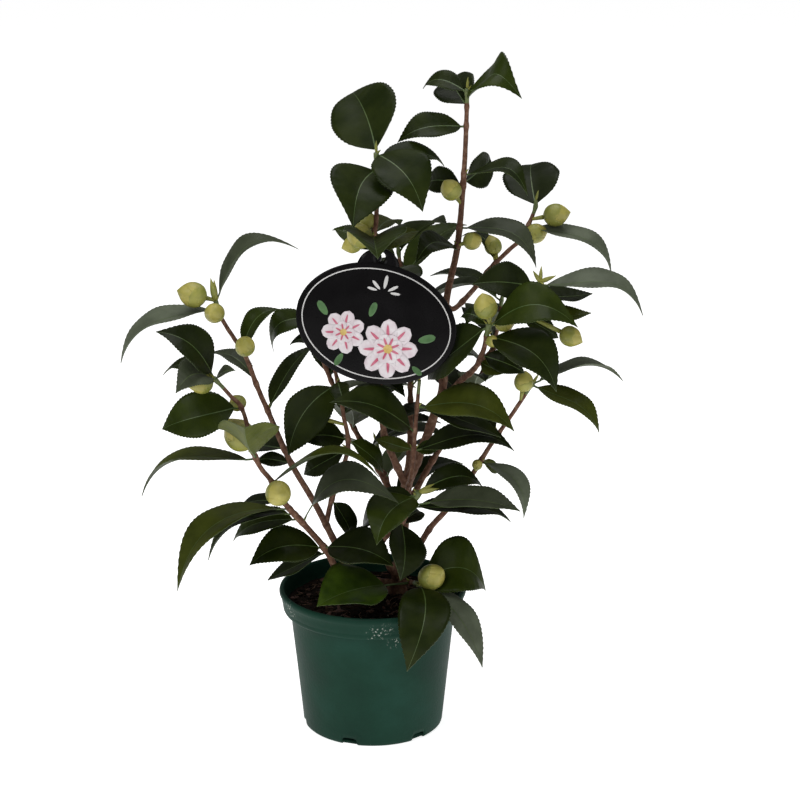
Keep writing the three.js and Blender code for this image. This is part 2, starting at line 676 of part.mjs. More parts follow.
function makeTrunk() {
  grownLimbs.push(aboveSoil(limb(trunkCurve, 0, 1, trunkRadius(GAP), LIMB_SIDES)));
  return aboveSoil(limb(trunkCurve, 0, 1, trunkRadius(0), LIMB_SIDES));
}

function makeShoot(name, shoot) {
  const parent = curves[shoot.parent];
  const root = parent.getPointAt(shoot.at / parent.getLength());
  const curve = curveThrough([root.toArray(), ...shoot.points]);
  const length = curve.getLength();
  const split = shoot.bare / length;
  const radius = (grow) => (share) => blend(shoot.radii, share) + grow;
  const bough = limb(curve, 0, split, radius(0), LIMB_SIDES);
  boughs[name] = largest(grownLimbs.reduce((rest, other) => rest.subtract(other), aboveSoil(bough)));
  grownLimbs.push(limb(curve, 0, split, radius(GAP), LIMB_SIDES));
  stems[name] = limb(curve, split + GAP / length, 1, radius(0), STEM_SIDES, TIP_SPIKE);
  curves[name] = curve;
}

// ---- Foliage ---------------------------------------------------------------------------------

// Everything that a new leaf has to keep clear of, with the box of each.
const taken = [];

function take(solid, mass) {
  taken.push({ solid, box: solid.boundingBox(), mass });
}

function isClear(solid, ownMass) {
  const box = solid.boundingBox();
  return !taken.some((other) => {
    if (ownMass && other.mass === ownMass) return false;
    const apart = [0, 1, 2].some((i) => box.min[i] > other.box.max[i] || box.max[i] < other.box.min[i]);
    return !apart && !other.solid.intersect(solid).isEmpty();
  });
}

// Puts a leaf in the mass, with its tip swung back or forth until its blade is clear, or leaves it out.
function addLeaf(mass, given, swings) {
  return swings.some((swing) => {
    const leaf = { ...LEAF, ...given, tip: given.tip.clone().add(new THREE.Vector3(0, swing, 0)) };
    const blade = leafSolid(leaf, TEST_START, TEST_THICKNESS);
    if (!isClear(blade)) return false;
    take(blade, mass);
    mass.push(leafSolid(leaf, 0, LEAF.thickness));
    return true;
  });
}

function addListedLeaves(mass, shoot, curve) {
  shoot.leaves.forEach(([base, end, back, middle, breadth, given]) => {
    const node = nodeOn(curve, base);
    const tip = tipOf(node, end, back);
    addLeaf(mass, { node, tip, ...shapeSeen(node, tip, middle, breadth, given) }, SWINGS);
  });
}

// A bud may touch the leaf whose axil it sits in, but nothing of another mass.
function addBuds(mass, shoot, curve) {
  shoot.buds.forEach(([base, end, back, radius]) => {
    const node = nodeOn(curve, base);
    const bud = budSolid({ node, tip: tipOf(node, end, back), radius });
    if (!isClear(bud, mass)) return;
    take(bud, mass);
    mass.push(bud);
  });
}

// Leaves by the rule on any stem: `at` gives the stem's point at mm from where its leaves start.
function growLeaves(mass, at, length, random) {
  let turnRound = 360 * random();
  for (let along = RULE.spacing; along <= length; along += RULE.spacing) {
    turnRound += RULE.golden;
    const size = blend(RULE.length, random());
    const rise = blend(RULE.rise, random());
    const node = at(along);
    const tip = node.clone().addScaledVector(heading(turnRound, rise), size);
    const place = tip.toArray();
    const inSpace = RULE.space.every(([low, high], i) => place[i] > low && place[i] < high);
    if (inSpace) addLeaf(mass, { node, tip, turn: 0 }, RULE.swings);
  }
}

// A side twig by the rule, to the back, with its own leaves.
function growTwig(mass, curve, below, random) {
  const node = nodeBelow(curve, below);
  const turnRound = 90 + RULE.twig.spread * (2 * random() - 1);
  const direction = heading(turnRound, blend(RULE.twig.rise, random()));
  const length = blend(RULE.twig.length, random());
  const line = new THREE.LineCurve3(node, node.clone().addScaledVector(direction, length));
  const twig = limb(line, 0, 1, () => RULE.twig.radius, TWIG_SIDES);
  const outer = limb(line, RULE.twig.bare, 1, () => RULE.twig.radius, TWIG_SIDES);
  if (!isClear(outer)) return;
  const takenBefore = taken.length;
  const massBefore = mass.length;
  take(outer, mass);
  mass.push(twig);
  const bare = length * RULE.twig.bare;
  growLeaves(mass, (along) => line.getPointAt(Math.min(1, (bare + along) / length)), length - bare, random);
  if (mass.length > massBefore + RULE.fewest) return;
  taken.length = takenBefore;
  mass.length = massBefore;
}

// ---- Label -----------------------------------------------------------------------------------

// A plate of the label's thickness with this outline, lying flat.
function flatPlate(outline) {
  const options = { depth: LABEL.thickness, bevelEnabled: false, curveSegments: LABEL_SEGMENTS };
  return new THREE.ExtrudeGeometry(outline, options);
}

function ellipse([x, y], [wide, tall]) {
  return new THREE.Shape().absellipse(x, y, wide, tall, 0, 2 * Math.PI);
}

// An oval plate with a slotted tab, and a ring round the leader's stem behind the tab.
function makeLabel() {
  const curve = curves.left_leader;
  const share = LABEL.hangs / curve.getLength();
  const stem = curve.getPointAt(share);
  const bore = blend(SHOOTS.left_leader.radii, share) + LABEL.ring.clear;
  const outer = bore + LABEL.ring.wall;
  const half = LABEL.ring.height / 2;
  const section = [[bore, -half], [outer, -half], [outer, half], [bore, half], [bore, -half]];
  const ringBand = new THREE.LatheGeometry(section.map((p) => new THREE.Vector2(...p)), RING_SIDES);
  const upright = new THREE.Vector3(0, 1, 0); // the lathe turns about Y
  ringBand.applyQuaternion(new THREE.Quaternion().setFromUnitVectors(upright, curve.getTangentAt(share)));
  ringBand.translate(stem.x, stem.y, stem.z);

  const { tab } = LABEL;
  const oval = flatPlate(ellipse([0, 0], LABEL.semi));
  oval.rotateZ(-radians(LABEL.roll));
  const hole = flatPlate(ellipse(tab.hole, [tab.bore, tab.bore]));
  const slit = new THREE.BoxGeometry(tab.slit, LABEL.drop, LABEL.thickness);
  slit.translate(tab.hole[0], tab.hole[1] + LABEL.drop / 2, LABEL.thickness / 2);
  const blank = toSolid(flatPlate(ellipse(tab.centre, tab.semi)));
  const head = blank.subtract(toSolid(hole)).subtract(toSolid(slit));
  const geometry = toGeometry(toSolid(oval).add(head));
  geometry.translate(0, -LABEL.drop, 0);
  geometry.rotateX(Math.PI / 2 - radians(LABEL.lean));
  geometry.translate(stem.x, stem.y - outer + LABEL.ring.bite, stem.z);
  return toSolid(geometry).add(toSolid(ringBand));
}

// ---- The plant -------------------------------------------------------------------------------

const plant = new THREE.Group();
plant.name = 'camellia_shrub';

function addNode(name, solid, material) {
  const mesh = new THREE.Mesh(toGeometry(solid), material);
  mesh.name = name;
  plant.add(mesh);
}

const pot = makePot();
const soil = makeSoil();
const trunk = makeTrunk();
Object.entries(SHOOTS).forEach(([name, shoot]) => makeShoot(name, shoot));
const label = makeLabel();
[pot, soil, label, ...grownLimbs].forEach((solid) => take(solid));

const masses = {};
Object.keys(SHOOTS).forEach((name) => {
  masses[name] = [stems[name]];
  take(stems[name], masses[name]);
});
Object.entries(SHOOTS).filter(([, shoot]) => shoot.leaves).forEach(([name, shoot]) => {
  addListedLeaves(masses[name], shoot, curves[name]);
});
Object.entries(SHOOTS).forEach(([name, shoot]) => {
  const random = seeded(shoot.seed);
  const curve = curves[name];
  if (shoot.twigs) {
    shoot.twigs.forEach((below) => growTwig(masses[name], curve, below, random));
  } else {
    const start = 1 - shoot.grows / curve.getLength();
    const at = (along) => curve.getPointAt(Math.min(1, start + along / curve.getLength()));
    growLeaves(masses[name], at, shoot.grows, random);
  }
});
Object.entries(SHOOTS).filter(([, shoot]) => shoot.buds).forEach(([name, shoot]) => {
  addBuds(masses[name], shoot, curves[name]);
});

addNode('pot', pot, MATERIALS.pot);
addNode('soil', soil, MATERIALS.soil);
addNode('trunk', trunk, MATERIALS.bark);
Object.keys(SHOOTS).forEach((name) => {
  addNode(`bough_${name}`, boughs[name], MATERIALS.bark);
  addNode(`foliage_${name}`, largest(wasm.Manifold.union(masses[name])), MATERIALS.foliage);
});
addNode('plant_label', label, MATERIALS.label);

export default plant;
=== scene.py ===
# Camellia shrub in a round nursery pot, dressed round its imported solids.
# The plant grows here in millimetres, in the frame of the solids, and its meshes are made in metres.

import json
import math

import bmesh
import bpy
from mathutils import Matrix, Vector, noise
from mathutils.bvhtree import BVHTree

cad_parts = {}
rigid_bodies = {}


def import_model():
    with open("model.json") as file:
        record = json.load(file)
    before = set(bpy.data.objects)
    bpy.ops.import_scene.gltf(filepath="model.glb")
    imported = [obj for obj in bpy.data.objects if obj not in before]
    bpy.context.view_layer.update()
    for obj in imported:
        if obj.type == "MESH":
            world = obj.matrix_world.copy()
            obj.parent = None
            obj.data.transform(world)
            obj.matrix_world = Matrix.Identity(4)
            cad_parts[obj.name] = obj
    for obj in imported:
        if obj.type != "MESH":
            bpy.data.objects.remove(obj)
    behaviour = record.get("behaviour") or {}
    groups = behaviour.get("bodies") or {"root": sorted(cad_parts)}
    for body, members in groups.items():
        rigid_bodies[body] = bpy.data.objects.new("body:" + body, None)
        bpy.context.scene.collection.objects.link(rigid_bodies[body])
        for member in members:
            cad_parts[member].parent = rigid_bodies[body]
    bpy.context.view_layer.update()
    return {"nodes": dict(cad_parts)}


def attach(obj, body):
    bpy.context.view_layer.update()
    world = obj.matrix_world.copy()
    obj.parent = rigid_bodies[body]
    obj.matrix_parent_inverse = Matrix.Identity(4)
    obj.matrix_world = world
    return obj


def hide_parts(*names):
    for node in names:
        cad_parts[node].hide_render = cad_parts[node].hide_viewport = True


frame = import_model()
MM = 0.001

# ---- Camera, floor and light -------------------------------------------------------------------

CAMERA = {"place": (0.022, -1.722, 0.781), "pitch": 73.5, "lens": 103.05, "sensor": 36.0}
WHITE = (1.0, 1.0, 1.0, 1.0)
PAPER = {"colour": (0.93, 0.93, 0.93), "roughness": 0.9}
FLOOR_SIZE = 30.0
FLOOR_GLOW = 0.8  # white sweep lit from below, so that it stays white to its far edge
WORLD_LIGHT = 0.2
# name: (place, aims at, size, watts)
LIGHTS = {
    "key": ((-0.9, -1.2, 1.7), (0.0, 0.0, 0.3), 1.0, 16.0),
    "fill": ((1.4, -1.2, 0.9), (0.0, 0.0, 0.25), 1.2, 5.0),
    "top": ((0.1, 0.3, 1.9), (0.0, 0.0, 0.3), 1.2, 14.0),
}


def make_camera():
    data = bpy.data.cameras.new("camera")
    data.lens = CAMERA["lens"]
    data.sensor_width = CAMERA["sensor"]
    camera = bpy.data.objects.new("camera", data)
    camera.location = CAMERA["place"]
    camera.rotation_euler = (math.radians(CAMERA["pitch"]), 0.0, 0.0)
    bpy.context.scene.collection.objects.link(camera)
    bpy.context.scene.camera = camera


def make_floor():
    reach = FLOOR_SIZE / 2
    mesh = bpy.data.meshes.new("floor")
    corners = [(-reach, -reach, 0), (reach, -reach, 0), (reach, reach, 0), (-reach, reach, 0)]
    mesh.from_pydata(corners, [], [(0, 1, 2, 3)])
    glow = {"Emission_Color": WHITE, "Emission_Strength": FLOOR_GLOW}
    mesh.materials.append(plain("floor_paper", PAPER["colour"], PAPER["roughness"], **glow))
    floor_object = bpy.data.objects.new("floor", mesh)
    bpy.context.scene.collection.objects.link(floor_object)


def make_lights():
    for name, (place, aim, size, power) in LIGHTS.items():
        data = bpy.data.lights.new(name, "AREA")
        data.size = size
        data.energy = power
        lamp = bpy.data.objects.new(name, data)
        lamp.location = place
        lamp.rotation_euler = (Vector(aim) - Vector(place)).to_track_quat("-Z", "Y").to_euler()
        bpy.context.scene.collection.objects.link(lamp)
    world = bpy.data.worlds.new("studio")
    world.use_nodes = True
    world.node_tree.nodes["Background"].inputs["Color"].default_value = WHITE
    world.node_tree.nodes["Background"].inputs["Strength"].default_value = WORLD_LIGHT
    bpy.context.scene.world = world
    bpy.context.scene.view_settings.view_transform = "Standard"


# ---- Materials ---------------------------------------------------------------------------------


def plain(name, colour, roughness, **sockets):
    made = bpy.data.materials.new(name)
    made.use_nodes = True
    shader = made.node_tree.nodes["Principled BSDF"]
    shader.inputs["Base Color"].default_value = (*colour, 1.0)
    shader.inputs["Roughness"].default_value = roughness
    for socket, value in sockets.items():
        shader.inputs[socket.replace("_", " ")].default_value = value
    return made


def add_node(made, kind, links=(), **values):
    """A node with these input values, each of `links` as (its input, the socket that feeds it)."""
    node = made.node_tree.nodes.new(kind)
    for name, value in values.items():
        node.inputs[name.replace("_", " ")].default_value = value
    for name, source in links:
        made.node_tree.links.new(source, node.inputs[name])
    return node


def link(made, source, socket):
    shader = made.node_tree.nodes["Principled BSDF"]
    made.node_tree.links.new(source, shader.inputs[socket])


def ramp(made, source, stops):
    node = add_node(made, "ShaderNodeValToRGB", [("Fac", source)])
    elements = node.color_ramp.elements
    while len(elements) < len(stops):
        elements.new(0.5)
    for element, (place, colour) in zip(elements, stops):
        element.position = place
        element.color = (*colour, 1.0)
    return node.outputs["Color"]


def value_map(made, source, low, high, to_low, to_high):
    node = add_node(
        made, "ShaderNodeMapRange", [("Value", source)],
        From_Min=low, From_Max=high, To_Min=to_low, To_Max=to_high)
    return node.outputs["Result"]


MOTTLE = {"detail": 5.0, "low": 0.3, "high": 0.7}  # the noise behind colour and roughness
GRAIN_DETAIL = 4.0  # of the noise behind the bump
PLAIN_SPECULAR = 0.5


def patterned(name, stops, rough, scale, bump, specular=PLAIN_SPECULAR):
    """A material mottled through `stops` by noise of `scale`, with finer noise in roughness and bump.
    `bump` is (scale, distance in metres)."""
    made = plain(name, stops[0][1], rough[0], Specular_IOR_Level=specular)
    place = add_node(made, "ShaderNodeTexCoord").outputs["Object"]
    mottle = add_node(made, "ShaderNodeTexNoise", [("Vector", place)], Scale=scale, Detail=MOTTLE["detail"])
    link(made, ramp(made, mottle.outputs["Fac"], stops), "Base Color")
    link(made, value_map(made, mottle.outputs["Fac"], MOTTLE["low"], MOTTLE["high"], *rough), "Roughness")
    grain = add_node(made, "ShaderNodeTexNoise", [("Vector", place)], Scale=bump[0], Detail=GRAIN_DETAIL)
    height = add_node(
        made, "ShaderNodeBump", [("Height", grain.outputs["Fac"])], Strength=1.0, Distance=bump[1])
    link(made, height.outputs["Normal"], "Normal")
    return made


def finishes(table):
    """A material for each key, from rows of what `patterned` asks for."""
    return {key: patterned(*row) for key, row in table.items()}


# Leaf blades, by name of the tint: the darker and the lighter colour of its mottling. The two sheen tints
# paint reflected light into the colour, and the deep tone is partly painted shade.
TINTS = {
    "dark": ((0.009, 0.015, 0.0014), (0.017, 0.025, 0.0024)),
    # a darker tone, dealt out by chance, and also given to listed leaves that lie in shadow as painted shade
    "deep_tone_and_shade": ((0.007, 0.011, 0.0013), (0.012, 0.018, 0.0020)),
    "mid": ((0.016, 0.026, 0.0018), (0.027, 0.040, 0.0032)),
    "olive": ((0.034, 0.043, 0.0045), (0.054, 0.066, 0.0070)),
    "fresh": ((0.016, 0.034, 0.0022), (0.042, 0.075, 0.0045)),
    # painted dull sheen: a greyed green with more blue, painting a soft sheen of reflected light on the
    # leaves it is given to
    "painted_dull_sheen": ((0.038, 0.046, 0.026), (0.058, 0.068, 0.040)),
    # painted sheen: a pale grey green that paints the bright sheen of reflected sky on the leaves it is given
    # to
    "painted_sheen": ((0.075, 0.088, 0.058), (0.110, 0.128, 0.086)),
}
UNDERSIDES = {
    "under": ((0.026, 0.038, 0.008), (0.038, 0.053, 0.011)),
    "under_young": ((0.058, 0.072, 0.010), (0.088, 0.102, 0.017)),
}


# How each kind of face is finished: limits of roughness, scale of mottling, grain and specular level.
TOP_FINISH = ((0.34, 0.46), 60.0, (900.0, 0.00012), 0.1)
UNDER_FINISH = ((0.50, 0.62), 90.0, (1200.0, 0.00015), 0.2)
LEAF_STOPS = (0.36, 0.66)
LEAF_EDGES = {
    "rib": (
        "leaf_rib", [(0.35, (0.040, 0.075, 0.014)), (0.65, (0.070, 0.110, 0.024))],
        (0.40, 0.50), 120.0, (1000.0, 0.0001)),
    "margin": (
        "leaf_margin", [(0.35, (0.040, 0.070, 0.015)), (0.65, (0.075, 0.100, 0.028))],
        (0.45, 0.55), 150.0, (1000.0, 0.0001)),
}
BARK_FINISHES = {
    "bark": (
        "bark",
        [(0.3, (0.085, 0.036, 0.022)), (0.55, (0.165, 0.085, 0.054)), (0.72, (0.265, 0.165, 0.112))],
        (0.60, 0.80), 260.0, (700.0, 0.0004), 0.15),
    "green": (
        "green_shoot", [(0.35, (0.080, 0.110, 0.030)), (0.65, (0.130, 0.160, 0.050))],
        (0.45, 0.6), 200.0, (700.0, 0.0002)),
}
BUD_FINISHES = {
    "bud_scale": (
        "bud_scale", [(0.35, (0.190, 0.205, 0.034)), (0.65, (0.310, 0.300, 0.058))],
        (0.42, 0.52), 90.0, (900.0, 0.00012)),
    "bud_petal": (
        "bud_petal", [(0.35, (0.280, 0.260, 0.048)), (0.65, (0.420, 0.370, 0.082))],
        (0.42, 0.52), 90.0, (900.0, 0.00012)),
}


def leaf_materials():
    made = {}
    for tints, finish in ((TINTS, TOP_FINISH), (UNDERSIDES, UNDER_FINISH)):
        for name, colours in tints.items():
            made[name] = patterned(f"leaf_{name}", list(zip(LEAF_STOPS, colours)), *finish)
    return {**made, **finishes(LEAF_EDGES)}


# ---- Meshes ------------------------------------------------------------------------------------


class Build:
    """The points and faces of one piece, in millimetres, each face with the name of its material."""

    def __init__(self):
        self.points = []
        self.faces = []
        self.slots = []

    def sheet(self, rows, slots, flip=False):
        """A skin over rows of points. `slots` gives the material of each column."""
        start = len(self.points)
        wide = len(rows[0])
        for row in rows:
            self.points.extend(row)
        for k in range(len(rows) - 1):
            for i in range(wide - 1):
                a = start + k * wide + i
                face = [a, a + 1, a + wide + 1, a + wide]
                self.faces.append(face[::-1] if flip else face)
                self.slots.append(slots[i])
        return start

    def slab(self, top, under, top_slots, under_slots, rim_slot):
        """A closed thin body between two sheets of equal rows and columns."""
        tall, wide = len(top), len(top[0])
        a = self.sheet(top, top_slots)
        b = self.sheet(under, under_slots, flip=True)
        edge = [(0, i) for i in range(wide)] + [(k, wide - 1) for k in range(1, tall)]
        edge += [(tall - 1, i) for i in range(wide - 2, -1, -1)] + [(k, 0) for k in range(tall - 2, 0, -1)]
        loop = [k * wide + i for k, i in edge]
        for here, there in zip(loop, loop[1:] + loop[:1]):
            self.faces.append([a + there, a + here, b + here, b + there])
            self.slots.append(rim_slot)

    def tube(self, rings, slots, loop=False):
        """A skin round rings of points, capped at both ends or, as a `loop`, joined end to start.
        `slots` gives the material of each stretch."""
        start = len(self.points)
        sides = len(rings[0])
        for ring in rings:
            self.points.extend(ring)
        for k in range(len(rings) - (0 if loop else 1)):
            here = start + k * sides
            there = start + (k + 1) % len(rings) * sides
            for i in range(sides):
                j = (i + 1) % sides
                self.faces.append([here + i, here + j, there + j, there + i])
                self.slots.append(slots[k])
        if not loop:
            last = start + (len(rings) - 1) * sides
            self.faces.append([start + i for i in range(sides)][::-1])
            self.faces.append([last + i for i in range(sides)])
            self.slots.extend([slots[0], slots[-1]])

    def piece(self, name, materials, replaces, slot):
        """Makes the object, which rides the root body and stands in for the nodes of `replaces`."""
        used = list(dict.fromkeys(self.slots))
        mesh = bpy.data.meshes.new(name)
        mesh.from_pydata([p * MM for p in self.points], [], self.faces)
        for key in used:
            mesh.materials.append(materials[key])
        mesh.polygons.foreach_set("material_index", [used.index(key) for key in self.slots])
        mesh.polygons.foreach_set("use_smooth", [True] * len(self.faces))
        outward = bmesh.new()
        outward.from_mesh(mesh)
        bmesh.ops.recalc_face_normals(outward, faces=outward.faces)
        outward.to_mesh(mesh)
        outward.free()
        made = bpy.data.objects.new(name, mesh)
        bpy.context.scene.collection.objects.link(made)
        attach(made, "root")
        if replaces:
            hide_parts(*replaces)
        return made


# ---- Curves and the seeded rule, as in the solids ----------------------------------------------

DIVISIONS = 200
UP = Vector((0, 0, 1))
RIGHT = Vector((1, 0, 0))
FRONT = Vector((0, -1, 0))


class Curve:
    """A smooth curve through points, read by the share of its length."""

    def __init__(self, points):
        self.points = [Vector(p) for p in points]
        self.marks = [0.0]
        last = self.by_step(0.0)
        for k in range(DIVISIONS):
            now = self.by_step((k + 1) / DIVISIONS)
            self.marks.append(self.marks[-1] + (now - last).length)
            last = now
        self.length = self.marks[-1]

    def by_step(self, t):
        spans = len(self.points) - 1
        i = min(int(spans * t), spans - 1)
        w = spans * t - i
        p1, p2 = self.points[i], self.points[i + 1]
        p0 = self.points[i - 1] if i > 0 else 2 * p1 - p2
        p3 = self.points[i + 2] if i + 2 <= spans else 2 * p2 - p1
        m1, m2 = (p2 - p0) / 2, (p3 - p1) / 2
        return p1 + m1 * w + (3 * (p2 - p1) - 2 * m1 - m2) * w**2 + (2 * (p1 - p2) + m1 + m2) * w**3

    def step_at(self, share):
        target = min(1.0, max(0.0, share)) * self.length
        low, high = 0, DIVISIONS
        while high - low > 1:
            half = (low + high) // 2
            if self.marks[half] <= target:
                low = half
            else:
                high = half
        return (low + (target - self.marks[low]) / (self.marks[high] - self.marks[low])) / DIVISIONS

    def at(self, share):
        return self.by_step(self.step_at(share))

    def tangent(self, share):
        step = self.step_at(share)
        return (self.by_step(min(1.0, step + 1e-4)) - self.by_step(max(0.0, step - 1e-4))).normalized()


SEEDING = {"spread": 7919, "factor": 1664525, "step": 1013904223, "size": 2**32}


def seeded(seed):
    """A source of numbers from 0 to 1, the same in every run."""
    state = [seed * SEEDING["spread"]]

    def draw():
        state[0] = (SEEDING["factor"] * state[0] + SEEDING["step"]) % SEEDING["size"]
        return state[0] / SEEDING["size"]

    return draw


def blend(limits, share):
    """The value a share of the way between two limits."""
    return limits[0] + (limits[1] - limits[0]) * share


def heading(degrees, rise):
    """A direction, turned from the right to the back and raised, in degrees."""
    flat = math.cos(math.radians(rise))
    turned = math.radians(degrees)
    return Vector((flat * math.cos(turned), flat * math.sin(turned), math.sin(math.radians(rise))))


# Sizes of the solids, in mm, degrees and shares of a leaf's length.
GAP = 0.3
SOIL_LEVEL = 104
POT_HEIGHT = 116
TRUNK = {
    "points": [[19, 20, SOIL_LEVEL - 6], [22, 17, 131], [26, 12, 184], [28, 10, 203]],
    "foot_radius": 9,
    "flare": 14,
    "radii": [5.4, 4.6],
}
LIMB_SIDES = 8
STEM_SIDES = 6
LIMB_STEP = 16
TIP_SPIKE = 7
LEAF = {
    "width": 0.54, "arch": 0.13, "droop": 0.4, "bow": 0, "fold": 18, "thickness": 1.6, "turn": 25,
    "petiole": 1.1, "stalk": 0.08}
BLADE = [[0.2, 0.8], [0.48, 1], [0.76, 0.66]]  # places along the plain blade, and its half width there
# A new leaf is tested this thick and from this share of its length on, and its tip swung back by the
# first of these, in mm, that leaves it clear.
TEST_START = 0.1
TEST_THICKNESS = 2.4
SWINGS = [0, 8, -8, 16, -16, 24, -24, 34]
BUD = {"length": 2.4, "reach": 0.9, "profile": [[0, 0.12], [0.08, 0.55], [0.45, 1], [0.8, 0.62]]}
RULE = {
    "golden": 137.5,
    "spacing": 11,
    "length": [58, 80],
    "rise": [5, 38],
    "twig": {"length": [26, 44], "rise": [20, 45], "spread": 60, "radius": 1.4, "bare": 0.35},
    "space": [[-72, 138], [-30, 170], [POT_HEIGHT + 14, 420]],
    "swings": [0, 12, -12],
    "fewest": 2,
}

# The front view, in which leaves and buds are laid out, and how a listed leaf's shape is found from it.
VIEW = {"eye": (22, -1722, 781), "pitch": 16.5, "scale": 2290, "middle": 400, "steps": 800}
TURNS = {"first": -20, "step": 5, "count": 21, "fair": 20}
GIVE = {"arch": 1100, "bow": 2250, "arches": (-0.1, 0.45), "bows": (-0.2, 0.2)}


def leaf(node, tip, back, middle=None, breadth=None, **given):
    """A listed leaf, with what differs from LEAF."""
    return node, tip, back, middle, breadth, given
